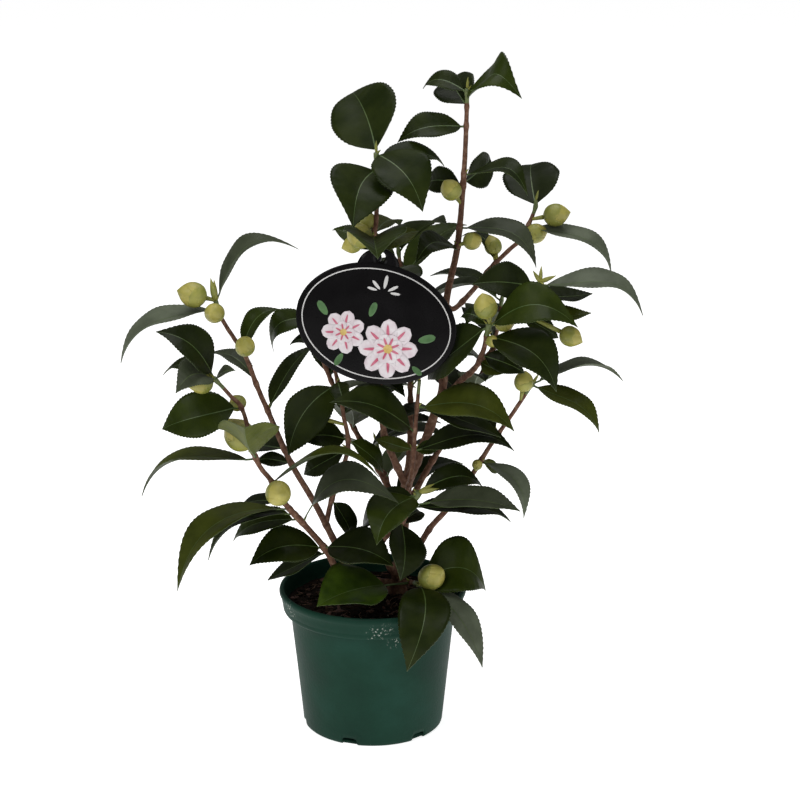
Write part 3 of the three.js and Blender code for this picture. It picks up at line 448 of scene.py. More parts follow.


# Each shoot leaves its parent `at` mm from the parent's root and passes `points`. Its first `bare`
# mm is the bough, and the rest carries leaves.
# leaves: node, tip, mm from the node back to the tip, middle of the midrib and breadth across the run
#         from node to tip
# buds:   [node, tip, mm from the node back to the tip, radius]
#         A node is given in mm below the shoot's tip, or as the place [right, down] in the view that
#         it is nearest to. Tip, middle and breadth are in the view, and a tip of three numbers is
#         [right, back, up] from its node in mm.
# twigs:  side twigs that the rule adds, in mm below the shoot's tip.
# grows:  length of the shoot, down from its tip, that carries leaves by the rule.
# A listed leaf's tint can paint light: the sheen tints paint reflected light on it, and the deep tone paints
# the shade it lies in.
SHOOTS = {
    "tall_leader": dict(
        parent="trunk", at=100, bare=196, radii=[4, 1.7], seed=3, twigs=[110],
        points=[
            [42, 12, 234], [49, 14, 254], [56, 16, 280], [58, 22, 342], [67, 28, 389], [72, 34, 451],
            [74, 38, 510]],
        leaves=[
            leaf(2, [522, 98], -36, [493, 74], 40, width=0.74, droop=1.3, stalk=0.02, tint="mid"),
            leaf(3, [423, 88], 20, [446, 79], 17, width=0.5),
            leaf(14, [452, 80], 45, None, 44, width=0.72, tint="deep_tone_and_shade", arch=0.1),
            leaf(29, [398, 143], -15, [430, 127], 25, width=0.5, droop=0.6),
            leaf(66, [527, 196], -30, [500, 167], 19, width=0.48, droop=0.9),
            leaf([463, 186], [428, 184], 25, [447, 175], 26, width=0.58),
            leaf([464, 184], [490, 158], 38, [475, 171], 28, width=0.6, tint="deep_tone_and_shade"),
            leaf(108, [536, 268], -22, [499, 226], 21, width=0.46, droop=0.5, tint="painted_dull_sheen"),
            leaf([460, 246], [416, 264], -32, [427, 244], 26, width=0.6, droop=0.9, tint="deep_tone_and_shade")],
        buds=[[[461, 205], [444, 181], -10, 8], [[461, 246], [481, 238], -15, 7]]),
    "left_leader": dict(
        parent="trunk", at=98, bare=192, radii=[3, 1.7], seed=5, twigs=[],
        points=[
            [14, 0, 230], [9, -4, 248], [4, -12, 319], [4, -16, 386], [1, -15, 400], [4, -11, 420],
            [4, -5, 468]],
        leaves=[
            leaf(0, [353, 93], 60, [368, 121], 70, width=0.78, stalk=0.04),
            leaf([375, 170], [353, 227], -50, [357, 192], 68, width=0.8, stalk=0.04),
            leaf(1, [423, 211], -36, [407, 175], 52, width=0.72, stalk=0.05),
            leaf(3, [444, 166], 26, [417, 154], 15, width=0.42, droop=0.6),
            leaf(64, [378, 258], -66, width=0.85, turn=0, arch=0.05, fold=35),
            leaf(62, [400, 226], 46, None, 12, width=0.45),
            leaf(76, [418, 233], 15, [397, 241], 17, width=0.5),
            leaf(76, [334, 231], 10, [350, 240], 17, width=0.5)],
        buds=[
            [[373, 246], [349, 227], -12, 9.5], [[375, 228], [360, 214], 10, 7],
            [[368, 236], [342, 248], -5, 6.6]]),
    "right_shoulder": dict(
        parent="tall_leader", at=150, bare=58, radii=[2.3, 1.6], seed=7, twigs=[50],
        points=[
            [66, 30, 338], [85, 44, 355], [94, 48, 366], [109, 56, 379], [119, 60, 388], [129, 68, 408],
            [130, 70, 416]],
        leaves=[
            leaf(5, [531, 165], 52, None, 58, width=0.82, arch=0.1, stalk=0.04),
            leaf(21, [611, 275], -12, [577, 235], 14, width=0.4, droop=0.8, tint="painted_sheen"),
            leaf(62, [462, 236], 26, [480, 233], 10, width=0.42)],
        buds=[
            [[537, 222], [571, 212], -6, 9.2], [[527, 240], [549, 230], 4, 8],
            [[494, 257], [490, 235], 10, 7]]),
    "right_front": dict(
        parent="tall_leader", at=66, bare=55, radii=[2.9, 1.7], seed=11, twigs=[34],
        points=[[67, 0, 284], [80, -18, 302], [86, -28, 319], [88, -34, 333], [90, -38, 343]],
        leaves=[
            leaf(12, [556, 392], -32, [528, 350], 42, width=0.6, droop=0.5, tint="dark"),
            leaf(3, [460, 318], 15, [475, 308], 14, width=0.5),
            leaf(2, [428, 380], 28, [458, 348], 34, width=0.56, tint="dark"),
            leaf(32, [524, 373], -4, [500, 359], 22, width=0.55, tint="deep_tone_and_shade"),
            leaf(38, [510, 371], -12, [491, 375], 17, width=0.6, tint="olive"),
            leaf(5, [578, 328], -16, [537, 304], 40, width=0.56, droop=0.3, tint="mid")],
        buds=[
            [[490, 323], [482, 293], -6, 9], [[486, 343], [498, 340], -10, 4.5],
            [[490, 325], [515, 321], 8, 7]]),
    "right_middle": dict(
        parent="right_front", at=47, bare=24, radii=[2.2, 1.5], seed=13, twigs=[30],
        points=[[95, -14, 317], [108, -10, 334], [118, -6, 353], [130, -4, 367]],
        leaves=[
            leaf(5, [473, 284], -20, [505, 284], 36, width=0.6, tint="deep_tone_and_shade"),
            leaf(14, [592, 294], 26, [570, 300], 15, width=0.45, tint="deep_tone_and_shade"),
            leaf(2, [643, 315], -12, [592, 280], 20, width=0.44, droop=0.9, tint="painted_sheen"),
            leaf(26, [591, 313], 10, [562, 318], 16, width=0.42, tint="olive"),
            leaf(30, [558, 338], 16, [540, 331], 20, width=0.5, tint="mid")],
        buds=[[[520, 312], [583, 342], -12, 8]]),
    "right_low": dict(
        parent="trunk", at=20, bare=94, radii=[2.8, 1.6], seed=17, twigs=[48, 74],
        points=[
            [35, 12, 141], [46, 4, 163], [60, -2, 182], [77, -6, 208], [93, -10, 237], [110, -15, 265],
            [125, -20, 291]],
        leaves=[
            leaf(1, [623, 381], 22, [585, 365], 9, width=0.4, droop=0.5, tint="painted_sheen"),
            leaf(2, [599, 433], -22, [573, 401], 19, width=0.45, droop=0.8, tint="olive"),
            leaf(80, [524, 518], -34, [518, 479], 18, width=0.42, droop=0.4, tint="painted_sheen"),
            leaf(78, [497, 472], 14, [489, 468], 10, width=0.4, tint="olive"),
            leaf(52, [-30, 34, 10], 0)],
        buds=[[[513, 396], [525, 371], -8, 7.5], [[474, 470], [479, 461], -8, 4]]),
    "front_middle": dict(
        parent="trunk", at=92, bare=44, radii=[2.1, 1.5], seed=19, twigs=[],
        points=[[31, -14, 214], [33, -20, 240], [34, -23, 257], [36, -26, 283], [37, -27, 295]],
        leaves=[
            leaf([417, 407], [514, 431], -30, [466, 404], 35, width=0.5, droop=0.5, tint="olive"),
            leaf(21, [501, 438], -4, [460, 420], 20, width=0.45),
            leaf(60, [516, 464], -42, [470, 443], 31, width=0.44, droop=0.7, tint="deep_tone_and_shade"),
            leaf(44, [330, 402], -26, [371, 403], 34, width=0.5, tint="dark"),
            leaf(60, [376, 440], 12, [396, 446], 15, width=0.42),
            leaf(60, [438, 448], 13, [427, 447], 15, width=0.5)]),
    "front_low": dict(
        parent="trunk", at=16, bare=62, radii=[3.4, 2.3], seed=23, twigs=[],
        points=[[7, -12, 153], [18, -22, 173], [24, -25, 180], [31, -28, 194], [37, -30, 205]],
        leaves=[
            leaf(2, [362, 532], 34, [385, 505], 22, width=0.5, tint="deep_tone_and_shade"),
            leaf(1, [483, 485], 26, [452, 472], 24, width=0.46, tint="deep_tone_and_shade"),
            leaf(14, [520, 511], -44, [472, 500], 24, width=0.36, droop=0.3, stalk=0.2, tint="painted_dull_sheen"),
            leaf(14, [510, 522], 14, [465, 507], 18, width=0.4, droop=0.9),
            leaf(4, [376, 545], -40, [389, 513], 42, width=0.7),
            leaf(30, [400, 581], -36, [402, 552], 36, width=0.7, tint="deep_tone_and_shade"),
            leaf(36, [420, 511], 30, [408, 517], 20, width=0.55, tint="deep_tone_and_shade")]),
    "left_front": dict(
        parent="trunk", at=12, bare=62, radii=[3.2, 1.5], seed=29, twigs=[90, 60],
        points=[
            [-22, -12, 128], [-36, -28, 156], [-51, -38, 179], [-68, -50, 204], [-77, -58, 224],
            [-87, -66, 243], [-96, -74, 284], [-105, -77, 297], [-117, -80, 312]],
        leaves=[
            leaf(76, [245, 425], -62, width=0.74, turn=0, arch=-0.04, stalk=0.14, fold=44,
                 tint="olive", under="under_young"),
            leaf(0, [156, 332], -10, [187, 338], 34, width=0.6, tint="deep_tone_and_shade"),
            leaf(1, [175, 397], -30, [190, 370], 36, width=0.85, tint="painted_dull_sheen"),
            leaf(2, [235, 374], -22, [225, 373], 11, width=0.5, tint="painted_dull_sheen"),
            leaf(3, [163, 375], 16, [186, 364], 14, width=0.45),
            leaf(32, [-60, -22, -18], 0, width=0.62, turn=50),
            leaf(77, [142, 496], 10, [195, 456], 12, width=0.34, droop=0.8, tint="olive"),
            leaf(104, [379, 477], -14, [325, 453], 9, width=0.32, tint="olive", stalk=0.03),
            leaf(125, [239, 509], 24, [262, 501], 12, width=0.4, tint="deep_tone_and_shade"),
            leaf(134, [180, 580], -30, [220, 519], 17, width=0.36, droop=0.2, tint="olive"),
            leaf(141, [208, 560], -10, [243, 518], 13, width=0.36, droop=0.2),
            leaf(147, [233, 541], 22, [262, 524], 22, width=0.46, tint="mid"),
            leaf(152, [399, 503], -18, [352, 476], 30, width=0.44, droop=0.2, stalk=0.16, tint="painted_dull_sheen"),
            leaf(184, [249, 566], -20, [284, 548], 37, width=0.58),
            leaf(188, [268, 580], 12, [298, 567], 16, width=0.45),
            leaf(182, [393, 566], -28, [357, 551], 38, width=0.66, tint="deep_tone_and_shade")],
        buds=[
            [[276, 492], [279, 494], -27, 10], [[254, 455], [227, 419], 6, 12],
            [[215, 380], [189, 388], -8, 7.8], [[243, 410], [232, 396], 9, 6.5]]),
    "left_tall": dict(
        parent="left_front", at=46, bare=66, radii=[3, 1.6], seed=31, twigs=[108, 62],
        points=[
            [-40, -12, 179], [-49, -16, 198], [-64, -24, 229], [-80, -32, 272], [-87, -36, 291],
            [-95, -40, 316], [-102, -42, 329], [-113, -45, 349], [-117, -47, 363]],
        leaves=[
            leaf(1, [298, 249], 16, [252, 243], 15, width=0.42, tint="painted_dull_sheen"),
            leaf(6, [121, 363], -12, [164, 316], 15, width=0.42, droop=0.6, tint="painted_sheen"),
            leaf(46, [281, 309], 14, [253, 318], 17, width=0.45),
            leaf(75, [208, 357], 16, [242, 361], 12, width=0.36, droop=0, tint="painted_dull_sheen"),
            leaf(136, [-26, 34, -14], 0),
            leaf(150, [256, 461], 10, [272, 457], 14, width=0.45, tint="deep_tone_and_shade"),
            leaf(100, [316, 345], 34, [288, 374], 16, width=0.36)],
        buds=[
            [[212, 300], [177, 290], -9, 9.8], [[219, 312], [210, 314], -20, 7.6],
            [[246, 356], [245, 340], -19, 7.6]]),
    "left_inner": dict(
        parent="left_tall", at=52, bare=14, radii=[2.2, 1.4], seed=37, twigs=[60],
        points=[
            [-32, -12, 192], [-19, -12, 234], [-22, -16, 263], [-26, -18, 290], [-34, -15, 322],
            [-38, -13, 344]],
        leaves=[
            leaf(22, [290, 345], 2, [309, 338], 10, width=0.4),
            leaf(56, [288, 455], -26, [303, 408], 42, width=0.56, tint="dark"),
            leaf(54, [6, -32, -14], 0, turn=20),
            leaf(156, [350, 550], -26, [337, 522], 36, width=0.66, tint="deep_tone_and_shade"),
            leaf(6, [274, 352], 6, [283, 311], 22, width=0.45),
            leaf(104, [298, 441], -12, [322, 437], 26, width=0.6, tint="deep_tone_and_shade"),
            leaf(112, [304, 475], 8, [325, 462], 24, width=0.55, tint="deep_tone_and_shade"),
            leaf(104, [383, 472], 12, [370, 456], 17, width=0.5, tint="mid"),
            leaf(40, [20, 44, 6], 0)],
        buds=[[[345, 425], [300, 412], -10, 7]]),
    "foot": dict(
        parent="trunk", at=14, bare=20, radii=[2.4, 1.8], seed=41, twigs=[],
        points=[[26, 0, 118], [32, -18, 125], [37, -33, 129]],
        leaves=[
            leaf(22, [317, 606], -44, [344, 594], 46, width=0.68, stalk=0.3, tint="fresh"),
            leaf(6, [486, 591], 8, [448, 562], 56, width=0.95, tint="mid"),
            leaf(2, [407, 671], -54, width=0.56, turn=0, arch=0.3, bow=-0.18, droop=0),
            leaf(3, [483, 671], -50, width=0.36, turn=0, arch=0.16, bow=0.02, droop=0, tint="painted_sheen")],
        buds=[[[419, 587], [444, 570], -12, 10.3]]),
    "back_left": dict(
        parent="trunk", at=66, bare=60, radii=[2.8, 1.5], seed=43, grows=150,
        points=[[10, 40, 190], [-16, 72, 226], [-40, 92, 274], [-52, 98, 320]]),
    "back_right": dict(
        parent="trunk", at=74, bare=60, radii=[2.8, 1.5], seed=47, grows=150,
        points=[[46, 40, 204], [74, 70, 242], [98, 90, 290], [106, 96, 334]]),
    "back_middle": dict(
        parent="trunk", at=92, bare=52, radii=[2.6, 1.5], seed=53, grows=150,
        points=[[30, 36, 228], [30, 66, 276], [26, 84, 328], [20, 90, 376]]),
    "back_low": dict(
        parent="trunk", at=36, bare=44, radii=[2.4, 1.5], seed=59, grows=78,
        points=[[20, 44, 154], [12, 72, 178], [2, 98, 206]]),
}
# Slim scales of new growth, each reaching right, back and up from the tip of its shoot.
TUFTS = {
    "right_middle": [[12, -4, 6], [1, 3, 12], [-6, -4, 10], [5, -8, -4]],
    "front_low": [[16, -4, 4], [13, 3, 6]],
    "left_tall": [[-3, -3, 18], [-1, 4, 15]],
    "right_shoulder": [[2, 0, 8]],
}


def leaf_frame(leaf):
    """Length, direction, upper side and right side of a leaf."""
    chord = leaf["tip"] - leaf["node"]
    length = chord.length
    along = chord.normalized()
    upper = (UP - along * UP.dot(along)).normalized()
    side = along.cross(upper)
    turn = math.radians(leaf["turn"]) * (-1 if side.dot(FRONT) < 0 else 1)
    upper = upper * math.cos(turn) + side * math.sin(turn)
    return length, along, upper, along.cross(upper)


EYE = Vector(VIEW["eye"])
AHEAD = Vector((0, math.cos(math.radians(VIEW["pitch"])), -math.sin(math.radians(VIEW["pitch"]))))
ABOVE = Vector((0, math.sin(math.radians(VIEW["pitch"])), math.cos(math.radians(VIEW["pitch"]))))


def shown(place):
    """Where a place shows in the front view, right and down."""
    ray = place - EYE
    scale = VIEW["scale"] / ray.dot(AHEAD)
    return Vector((VIEW["middle"] + ray.x * scale, VIEW["middle"] - ray.dot(ABOVE) * scale))


def below_tip(curve, given):
    """How far below the stem's tip a node is: as given, or nearest to a place in the view."""
    if not isinstance(given, list):
        return given
    place = Vector(given)
    shares = [k / VIEW["steps"] for k in range(VIEW["steps"] + 1)]
    nearest = min(shares, key=lambda share: (shown(curve.at(share)) - place).length)
    return round(curve.length * (1 - nearest))


def node_on(curve, given):
    return curve.at(1 - below_tip(curve, given) / curve.length)


def tip_of(node, given, back):
    """A tip given in the view and in mm behind its node, or as (right, back, up) from it."""
    if len(given) == 3:
        return node + Vector(given)
    right, down = given
    ray = AHEAD * VIEW["scale"] + ABOVE * (VIEW["middle"] - down) + Vector((right - VIEW["middle"], 0, 0))
    reach = EYE + ray * ((node.y + back - EYE.y) / ray.y) - node
    return node + Vector([round(part) for part in reach])


def clamp(value, limits):
    return min(max(value, limits[0]), limits[1])


def shape_seen(node, tip, middle, breadth, given):
    """The shape of a listed leaf: its turn shows the blade `breadth` wide in the view, and its arch and
    bow draw the middle of its midrib towards `middle`, as far as they give way."""
    shape = {**LEAF, "node": node, "tip": tip, **given}
    start, end = shown(node), shown(tip)
    run = end - start
    across = Vector((-run.y, run.x)).normalized()
    fold = math.radians(shape["fold"])

    def sway(step):
        return (shown(node + step) - start).dot(across)

    def miss(turn):
        length, _, upper, side = leaf_frame({**shape, "turn": turn})
        half = shape["width"] * length / 2
        wide, high = side * (half * math.cos(fold)), upper * (half * math.sin(fold))
        edges = sway(high - wide), sway(high + wide)
        seen = max(0, *edges) - min(0, *edges)
        return math.floor(10 * abs(seen - breadth) + 0.5) + abs(turn - TURNS["fair"]) / 1000

    if breadth:
        shape["turn"] = min((TURNS["first"] + k * TURNS["step"] for k in range(TURNS["count"])), key=miss)
    if middle:
        length, _, upper, side = leaf_frame(shape)
        rise, drift = sway(upper * length), sway(side * length)
        wanted = (Vector(middle) - (start + end) / 2).dot(across) - LEAF["arch"] * rise
        pull = wanted / (1 + rise**2 / GIVE["arch"] + drift**2 / GIVE["bow"])
        shape["arch"] = clamp(LEAF["arch"] + pull * rise / GIVE["arch"], GIVE["arches"])
        shape["bow"] = clamp(pull * drift / GIVE["bow"], GIVE["bows"])
    return {"tint": None, **shape, **given}


def middle_of(leaf, length, along, upper, side, share):
    round_over = 4 * length * share * (1 - share)
    rise = leaf["arch"] * round_over * (1 + leaf["droop"] * (2 * share - 1))
    return leaf["node"] + along * length * share + upper * rise + side * leaf["bow"] * round_over


def coarse_leaf(leaf, start, thickness):
    """Rings of the plain leaf of the solids, for the clash test."""
    length, along, upper, side = leaf_frame(leaf)
    fold = math.radians(leaf["fold"])

    def section(share, half, thick):
        middle = middle_of(leaf, length, along, upper, side, share)
        out, lift = side * half * math.cos(fold), upper * half * math.sin(fold)
        rise = upper * thick / 2
        return [middle - out + lift, middle + rise, middle + out + lift, middle - rise]

    half = leaf["width"] * length / 2
    shares = [leaf["stalk"] + (1 - leaf["stalk"]) * share for share, _ in BLADE]
    blade = [section(share, half * wide, thickness) for share, (_, wide) in zip(shares, BLADE)]
    root = section(0, LEAF["petiole"], max(thickness, 2 * LEAF["petiole"]))
    first = [point.lerp(other, start / shares[0]) for point, other in zip(root, blade[0])]
    return [first, *blade, [leaf["tip"]]]


def ring(centre, side, up, radius, sides):
    turns = [2 * math.pi * i / sides for i in range(sides)]
    return [centre - side * radius * math.cos(a) + up * radius * math.sin(a) for a in turns]


def stations(curve, start, stop, steps):
    """Places along a stem, each with its share of the length, side and up, not twisting on the way."""
    up = RIGHT.cross(curve.tangent(start)).normalized()
    for k in range(steps + 1):
        share = min(1, start + (stop - start) * k / steps)
        tangent = curve.tangent(share)
        up = (up - tangent * up.dot(tangent)).normalized()
        yield share, curve.at(share), tangent.cross(up), up


def coarse_limb(curve, start, stop, radius_at, sides, spike=0):
    length = curve.length * (stop - start)
    steps = max(2, math.floor(length / LIMB_STEP + 0.5))
    rings = [
        ring(centre, side, up, radius_at(share), sides)
        for share, centre, side, up in stations(curve, start, stop, steps)]
    if spike:
        rings.append([curve.at(stop) + curve.tangent(stop) * spike])
    return rings


def bud_frame(bud):
    """Direction, side and up of a bud, and the length of its bulb."""
    reach = bud["tip"] - bud["node"]
    along = reach.normalized()
    up = RIGHT.cross(along).normalized()
    bulb = min(BUD["length"] * bud["radius"], reach.length * BUD["reach"])
    return along, along.cross(up), up, bulb


def coarse_bud(bud):
    along, side, up, bulb = bud_frame(bud)
    rings = [ring(bud["node"], side, up, LEAF["petiole"], STEM_SIDES)]
    for share, wide in BUD["profile"]:
        centre = bud["tip"] + along * (share - 1) * bulb
        rings.append(ring(centre, side, up, max(bud["radius"] * wide, LEAF["petiole"]), STEM_SIDES))
    return [*rings, [bud["tip"]]]


class Body:
    """A closed shape that new leaves keep clear of, with its box."""

    def __init__(self, points, faces, mass=None):
        self.tree = BVHTree.FromPolygons(points, faces)
        self.low = [min(p[i] for p in points) for i in range(3)]
        self.high = [max(p[i] for p in points) for i in range(3)]
        self.mass = mass

    @classmethod
    def lofted(cls, rings, mass=None):
        points = [p for one in rings for p in one]
        sides = len(rings[0])
        faces = []
        for k in range(len(rings) - 1):
            here, there = k * sides, (k + 1) * sides
            for i in range(sides):
                j = (i + 1) % sides
                if len(rings[k + 1]) == 1:
                    faces.append((here + i, here + j, there))
                else:
                    faces.append((here + i, here + j, there + i))
                    faces.append((here + j, there + j, there + i))
        for i in range(1, sides - 1):
            faces.append((0, i + 1, i))
            if len(rings[-1]) > 1:
                last = (len(rings) - 1) * sides
                faces.append((last, last + i, last + i + 1))
        return cls(points, faces, mass)

    def meets(self, other):
        if any(self.low[i] > other.high[i] or self.high[i] < other.low[i] for i in range(3)):
            return False
        return bool(self.tree.overlap(other.tree))


taken = []


def is_clear(body, own_mass=None):
    return not any(body.meets(other) for other in taken if own_mass is None or other.mass != own_mass)


def add_leaf(grown, mass, given, swings):
    for swing in swings:
        leaf = {**LEAF, **given, "tip": given["tip"] + Vector((0, swing, 0))}
        blade = Body.lofted(coarse_leaf(leaf, TEST_START, TEST_THICKNESS), mass)
        if is_clear(blade):
            taken.append(blade)
            grown["leaves"].append(leaf)
            return


def grow_leaves(grown, mass, at, length, random):
    turn_round = 360 * random()
    along = RULE["spacing"]
    while along <= length:
        turn_round += RULE["golden"]
        size = blend(RULE["length"], random())
        rise = blend(RULE["rise"], random())
        node = at(along)
        tip = node + heading(turn_round, rise) * size
        if all(low < tip[i] < high for i, (low, high) in enumerate(RULE["space"])):
            add_leaf(grown, mass, {"node": node, "tip": tip, "turn": 0, "tint": None}, RULE["swings"])
        along += RULE["spacing"]


def grow_twig(grown, mass, curve, below, random):
    twig = RULE["twig"]
    node = curve.at(1 - below / curve.length)
    turn_round = 90 + twig["spread"] * (2 * random() - 1)
    direction = heading(turn_round, blend(twig["rise"], random()))
    length = blend(twig["length"], random())
    line = Curve([node, node + direction * length])
    outer = Body.lofted(coarse_limb(line, twig["bare"], 1, lambda share: twig["radius"], 3), mass)
    if not is_clear(outer):
        return
    taken_before, leaves_before = len(taken), len(grown["leaves"])
    taken.append(outer)
    bare = length * twig["bare"]
    grow_leaves(grown, mass, lambda along: line.at((bare + along) / length), length - bare, random)
    if len(grown["leaves"]) >= leaves_before + RULE["fewest"]:
        grown["twigs"].append(line)
        return
    del taken[taken_before:]
    del grown["leaves"][leaves_before:]


def trunk_radius(curve, grow):
    def radius(share):
        height = curve.at(share).z - SOIL_LEVEL
        flare = min(1, max(0, 1 - height / TRUNK["flare"])) ** 2
        return blend(TRUNK["radii"], share) + (TRUNK["foot_radius"] - TRUNK["radii"][0]) * flare + grow

    return radius


def shoot_radius(shoot, grow):
    return lambda share: blend(shoot["radii"], share) + grow


def grow_plant():
    """Every curve, and the leaves, twigs and buds of each shoot, in the order of the solids."""
    curves = {"trunk": Curve(TRUNK["points"])}
    for node in ("pot", "soil", "plant_label"):
        mesh = frame["nodes"][node].data
        taken.append(Body([v.co / MM for v in mesh.vertices], [tuple(p.vertices) for p in mesh.polygons]))
    trunk = coarse_limb(curves["trunk"], 0, 1, trunk_radius(curves["trunk"], GAP), LIMB_SIDES)
    taken.append(Body.lofted(trunk))
    stems = {}
    for name, shoot in SHOOTS.items():
        parent = curves[shoot["parent"]]
        curve = Curve([parent.at(shoot["at"] / parent.length), *shoot["points"]])
        split = shoot["bare"] / curve.length
        taken.append(Body.lofted(coarse_limb(curve, 0, split, shoot_radius(shoot, GAP), LIMB_SIDES)))
        start = split + GAP / curve.length
        stems[name] = coarse_limb(curve, start, 1, shoot_radius(shoot, 0), STEM_SIDES, TIP_SPIKE)
        curves[name] = curve
    for name in SHOOTS:
        taken.append(Body.lofted(stems[name], name))
    plant = {name: {"leaves": [], "twigs": [], "buds": []} for name in SHOOTS}
    for name, shoot in SHOOTS.items():
        curve = curves[name]
        for base, end, back, middle, breadth, given in shoot.get("leaves", []):
            node = node_on(curve, base)
            leaf = shape_seen(node, tip_of(node, end, back), middle, breadth, given)
            add_leaf(plant[name], name, leaf, SWINGS)
    for name, shoot in SHOOTS.items():
        random = seeded(shoot["seed"])
        curve = curves[name]
        if "twigs" in shoot:
            for below in shoot["twigs"]:
                grow_twig(plant[name], name, curve, below, random)
        else:
            start = 1 - shoot["grows"] / curve.length
            grow_leaves(
                plant[name], name, lambda along: curve.at(start + along / curve.length),
                shoot["grows"], random)
    for name, shoot in SHOOTS.items():
        curve = curves[name]
        for base, end, back, radius in shoot.get("buds", []):
            node = node_on(curve, base)
            bud = {"node": node, "tip": tip_of(node, end, back), "radius": radius}
            body = Body.lofted(coarse_bud(bud), name)
            if is_clear(body, name):
                taken.append(body)
                plant[name]["buds"].append(bud)
    return curves, plant


# ---- Leaves ------------------------------------------------------------------------------------

STATIONS = 48
FINE_SIDES = 8  # of petioles, bud stalks and leaf buds
# Half width of a fine blade, as a share of its greatest, at shares of its length.
OUTLINE = [
    (0.0, 0.05), (0.03, 0.22), (0.08, 0.46), (0.15, 0.70), (0.24, 0.88), (0.35, 0.985), (0.47, 1.02),
    (0.6, 0.93), (0.72, 0.745), (0.82, 0.51), (0.89, 0.31), (0.94, 0.165), (0.975, 0.075), (1.0, 0.01)]
COLUMNS = (1.0, 0.86, 0.6, 0.3, 0.0)  # places of the blade's columns, as shares from midrib to margin
# Midrib: its half width, tapering to the tip and never more than this share of the blade's, how far
# it lies below the blade, and how much thicker it is.
RIB = {"half": 0.45, "taper": 1.2, "most": 0.6, "sunk": 0.25, "thick": 0.35}
# Teeth of the margin: where they start and end along the blade, and how far they go out and in.
TEETH = {"from": 0.12, "to": 0.95, "out": 0.5, "in": -0.25}
# What differs between leaves: the margin's ripple, the halves' unlike widths and the sideways bend.
UNLIKE = {"ripple": (0.03, 0.04), "skew": 0.06, "bend": 0.07}
RIPPLES = 1.7  # waves along the margin
FLATTEN = 0.3  # how far the blade's fold eases towards the margin
# Shallow bulges between side veins, slanting outward.
QUILT = {"veins": 8, "slant": 1.6, "height": 0.22}
BLADE_THICK = {"margin": 0.35, "middle": 0.4}
# Petiole: from just inside the stem to a little way under the blade, thinner on the way and pointed.
PETIOLE = {"rings": 7, "start": -0.01, "past": 0.035, "sunk": 0.25, "radius": 1.15, "taper": 0.3, "end": 0.5}


def smooth(table, x):
    """A smooth curve through (x, y) pairs."""
    i = max(k for k, (at, _) in enumerate(table[:-1]) if x >= at)
    (x1, y1), (x2, y2) = table[i], table[i + 1]
    x0, y0 = table[i - 1] if i else (2 * x1 - x2, 2 * y1 - y2)
    x3, y3 = table[i + 2] if i + 2 < len(table) else (2 * x2 - x1, 2 * y2 - y1)
    span = x2 - x1
    w = (x - x1) / span
    m1, m2 = (y2 - y0) / (x2 - x0) * span, (y3 - y1) / (x3 - x1) * span
    return y1 + m1 * w + (3 * (y2 - y1) - 2 * m1 - m2) * w**2 + (2 * (y1 - y2) + m1 + m2) * w**3


def fine_leaf(build, leaf, tint, under, random):
    """A leathery blade with a sunken midrib, shallow quilting between its veins, a finely toothed
    margin and a drip tip, on a short round petiole."""
    length, along, upper, side = leaf_frame(leaf)
    fold = math.radians(leaf["fold"])
    half = leaf["width"] * length / 2
    stalk = leaf["stalk"]
    wave = 2 * math.pi * random()
    ripple = UNLIKE["ripple"][0] + UNLIKE["ripple"][1] * random()
    skew = UNLIKE["skew"] * (random() - 0.5)
    bend = UNLIKE["bend"] * (random() - 0.5)
    top, bottom = [], []
    for k in range(STATIONS + 1):
        t = k / STATIONS
        middle = middle_of(leaf, length, along, upper, side, stalk + (1 - stalk) * t)
        middle = middle + side * (4 * bend * length * t * (1 - t))
        width = max(0.25, half * smooth(OUTLINE, t))
        tooth = 0.0
        if TEETH["from"] < t < TEETH["to"]:
            tooth = TEETH["out"] if k % 2 else TEETH["in"]
        rib = min(RIB["half"] * (RIB["taper"] - t), RIB["most"] * width)
        top_row, bottom_row = [], []
        for sign in (-1, 1):
            places = COLUMNS if sign < 0 else COLUMNS[::-1]
            for place in places:
                wide = width * (1 + sign * skew)
                x = rib + (wide - rib) * place
                if place == 1.0:
                    x += tooth
                c = x / half
                lift = x * math.sin(fold) * (1 - FLATTEN * c * c)
                lift += half * ripple * c * c * math.sin(2 * math.pi * RIPPLES * t + wave + sign)
                if place not in (COLUMNS[0], COLUMNS[-1]):
                    quilt = math.cos(2 * math.pi * (QUILT["veins"] * t - QUILT["slant"] * c))
                    lift += QUILT["height"] * quilt * min(1, 4 * t, 6 * (1 - t))
                thick = BLADE_THICK["middle"] * (1 - place) * min(1, 5 * (1 - t) + 0.2)
                thick += BLADE_THICK["margin"]
                if place == COLUMNS[-1]:
                    lift -= RIB["sunk"]
                    thick += RIB["thick"]
                point = middle + side * (sign * x * math.cos(fold)) + upper * lift
                top_row.append(point + upper * thick / 2)
                bottom_row.append(point - upper * thick / 2)
        top.append(top_row)
        bottom.append(bottom_row)
    count = len(COLUMNS) - 1
    top_slots, under_slots = ([kind] * count + ["rib"] + [kind] * count for kind in (tint, under))
    build.slab(top, bottom, top_slots, under_slots, "margin")
    rings = []
    last = PETIOLE["rings"] - 1
    for k in range(PETIOLE["rings"]):
        share = PETIOLE["start"] + (stalk + PETIOLE["past"]) * k / last
        centre = middle_of(leaf, length, along, upper, side, share) - upper * PETIOLE["sunk"]
        radius = PETIOLE["radius"] - PETIOLE["taper"] * min(1, 2 * k / last)
        if k == last:
            radius -= PETIOLE["end"]
        rings.append(ring(centre, side, upper, radius, FINE_SIDES))
    build.tube(rings, ["rib"] * last)


TINT_LIMITS = (("dark", 0.5), ("deep_tone_and_shade", 0.72), ("mid", 0.93), ("olive", 1.0))


def tint_for(leaf, random):
    """The tint given to a leaf, or one dealt out by chance."""
    draw = random()
    return leaf.get("tint") or next(tint for tint, limit in TINT_LIMITS if draw < limit)


# ---- Buds --------------------------------------------------------------------------------------

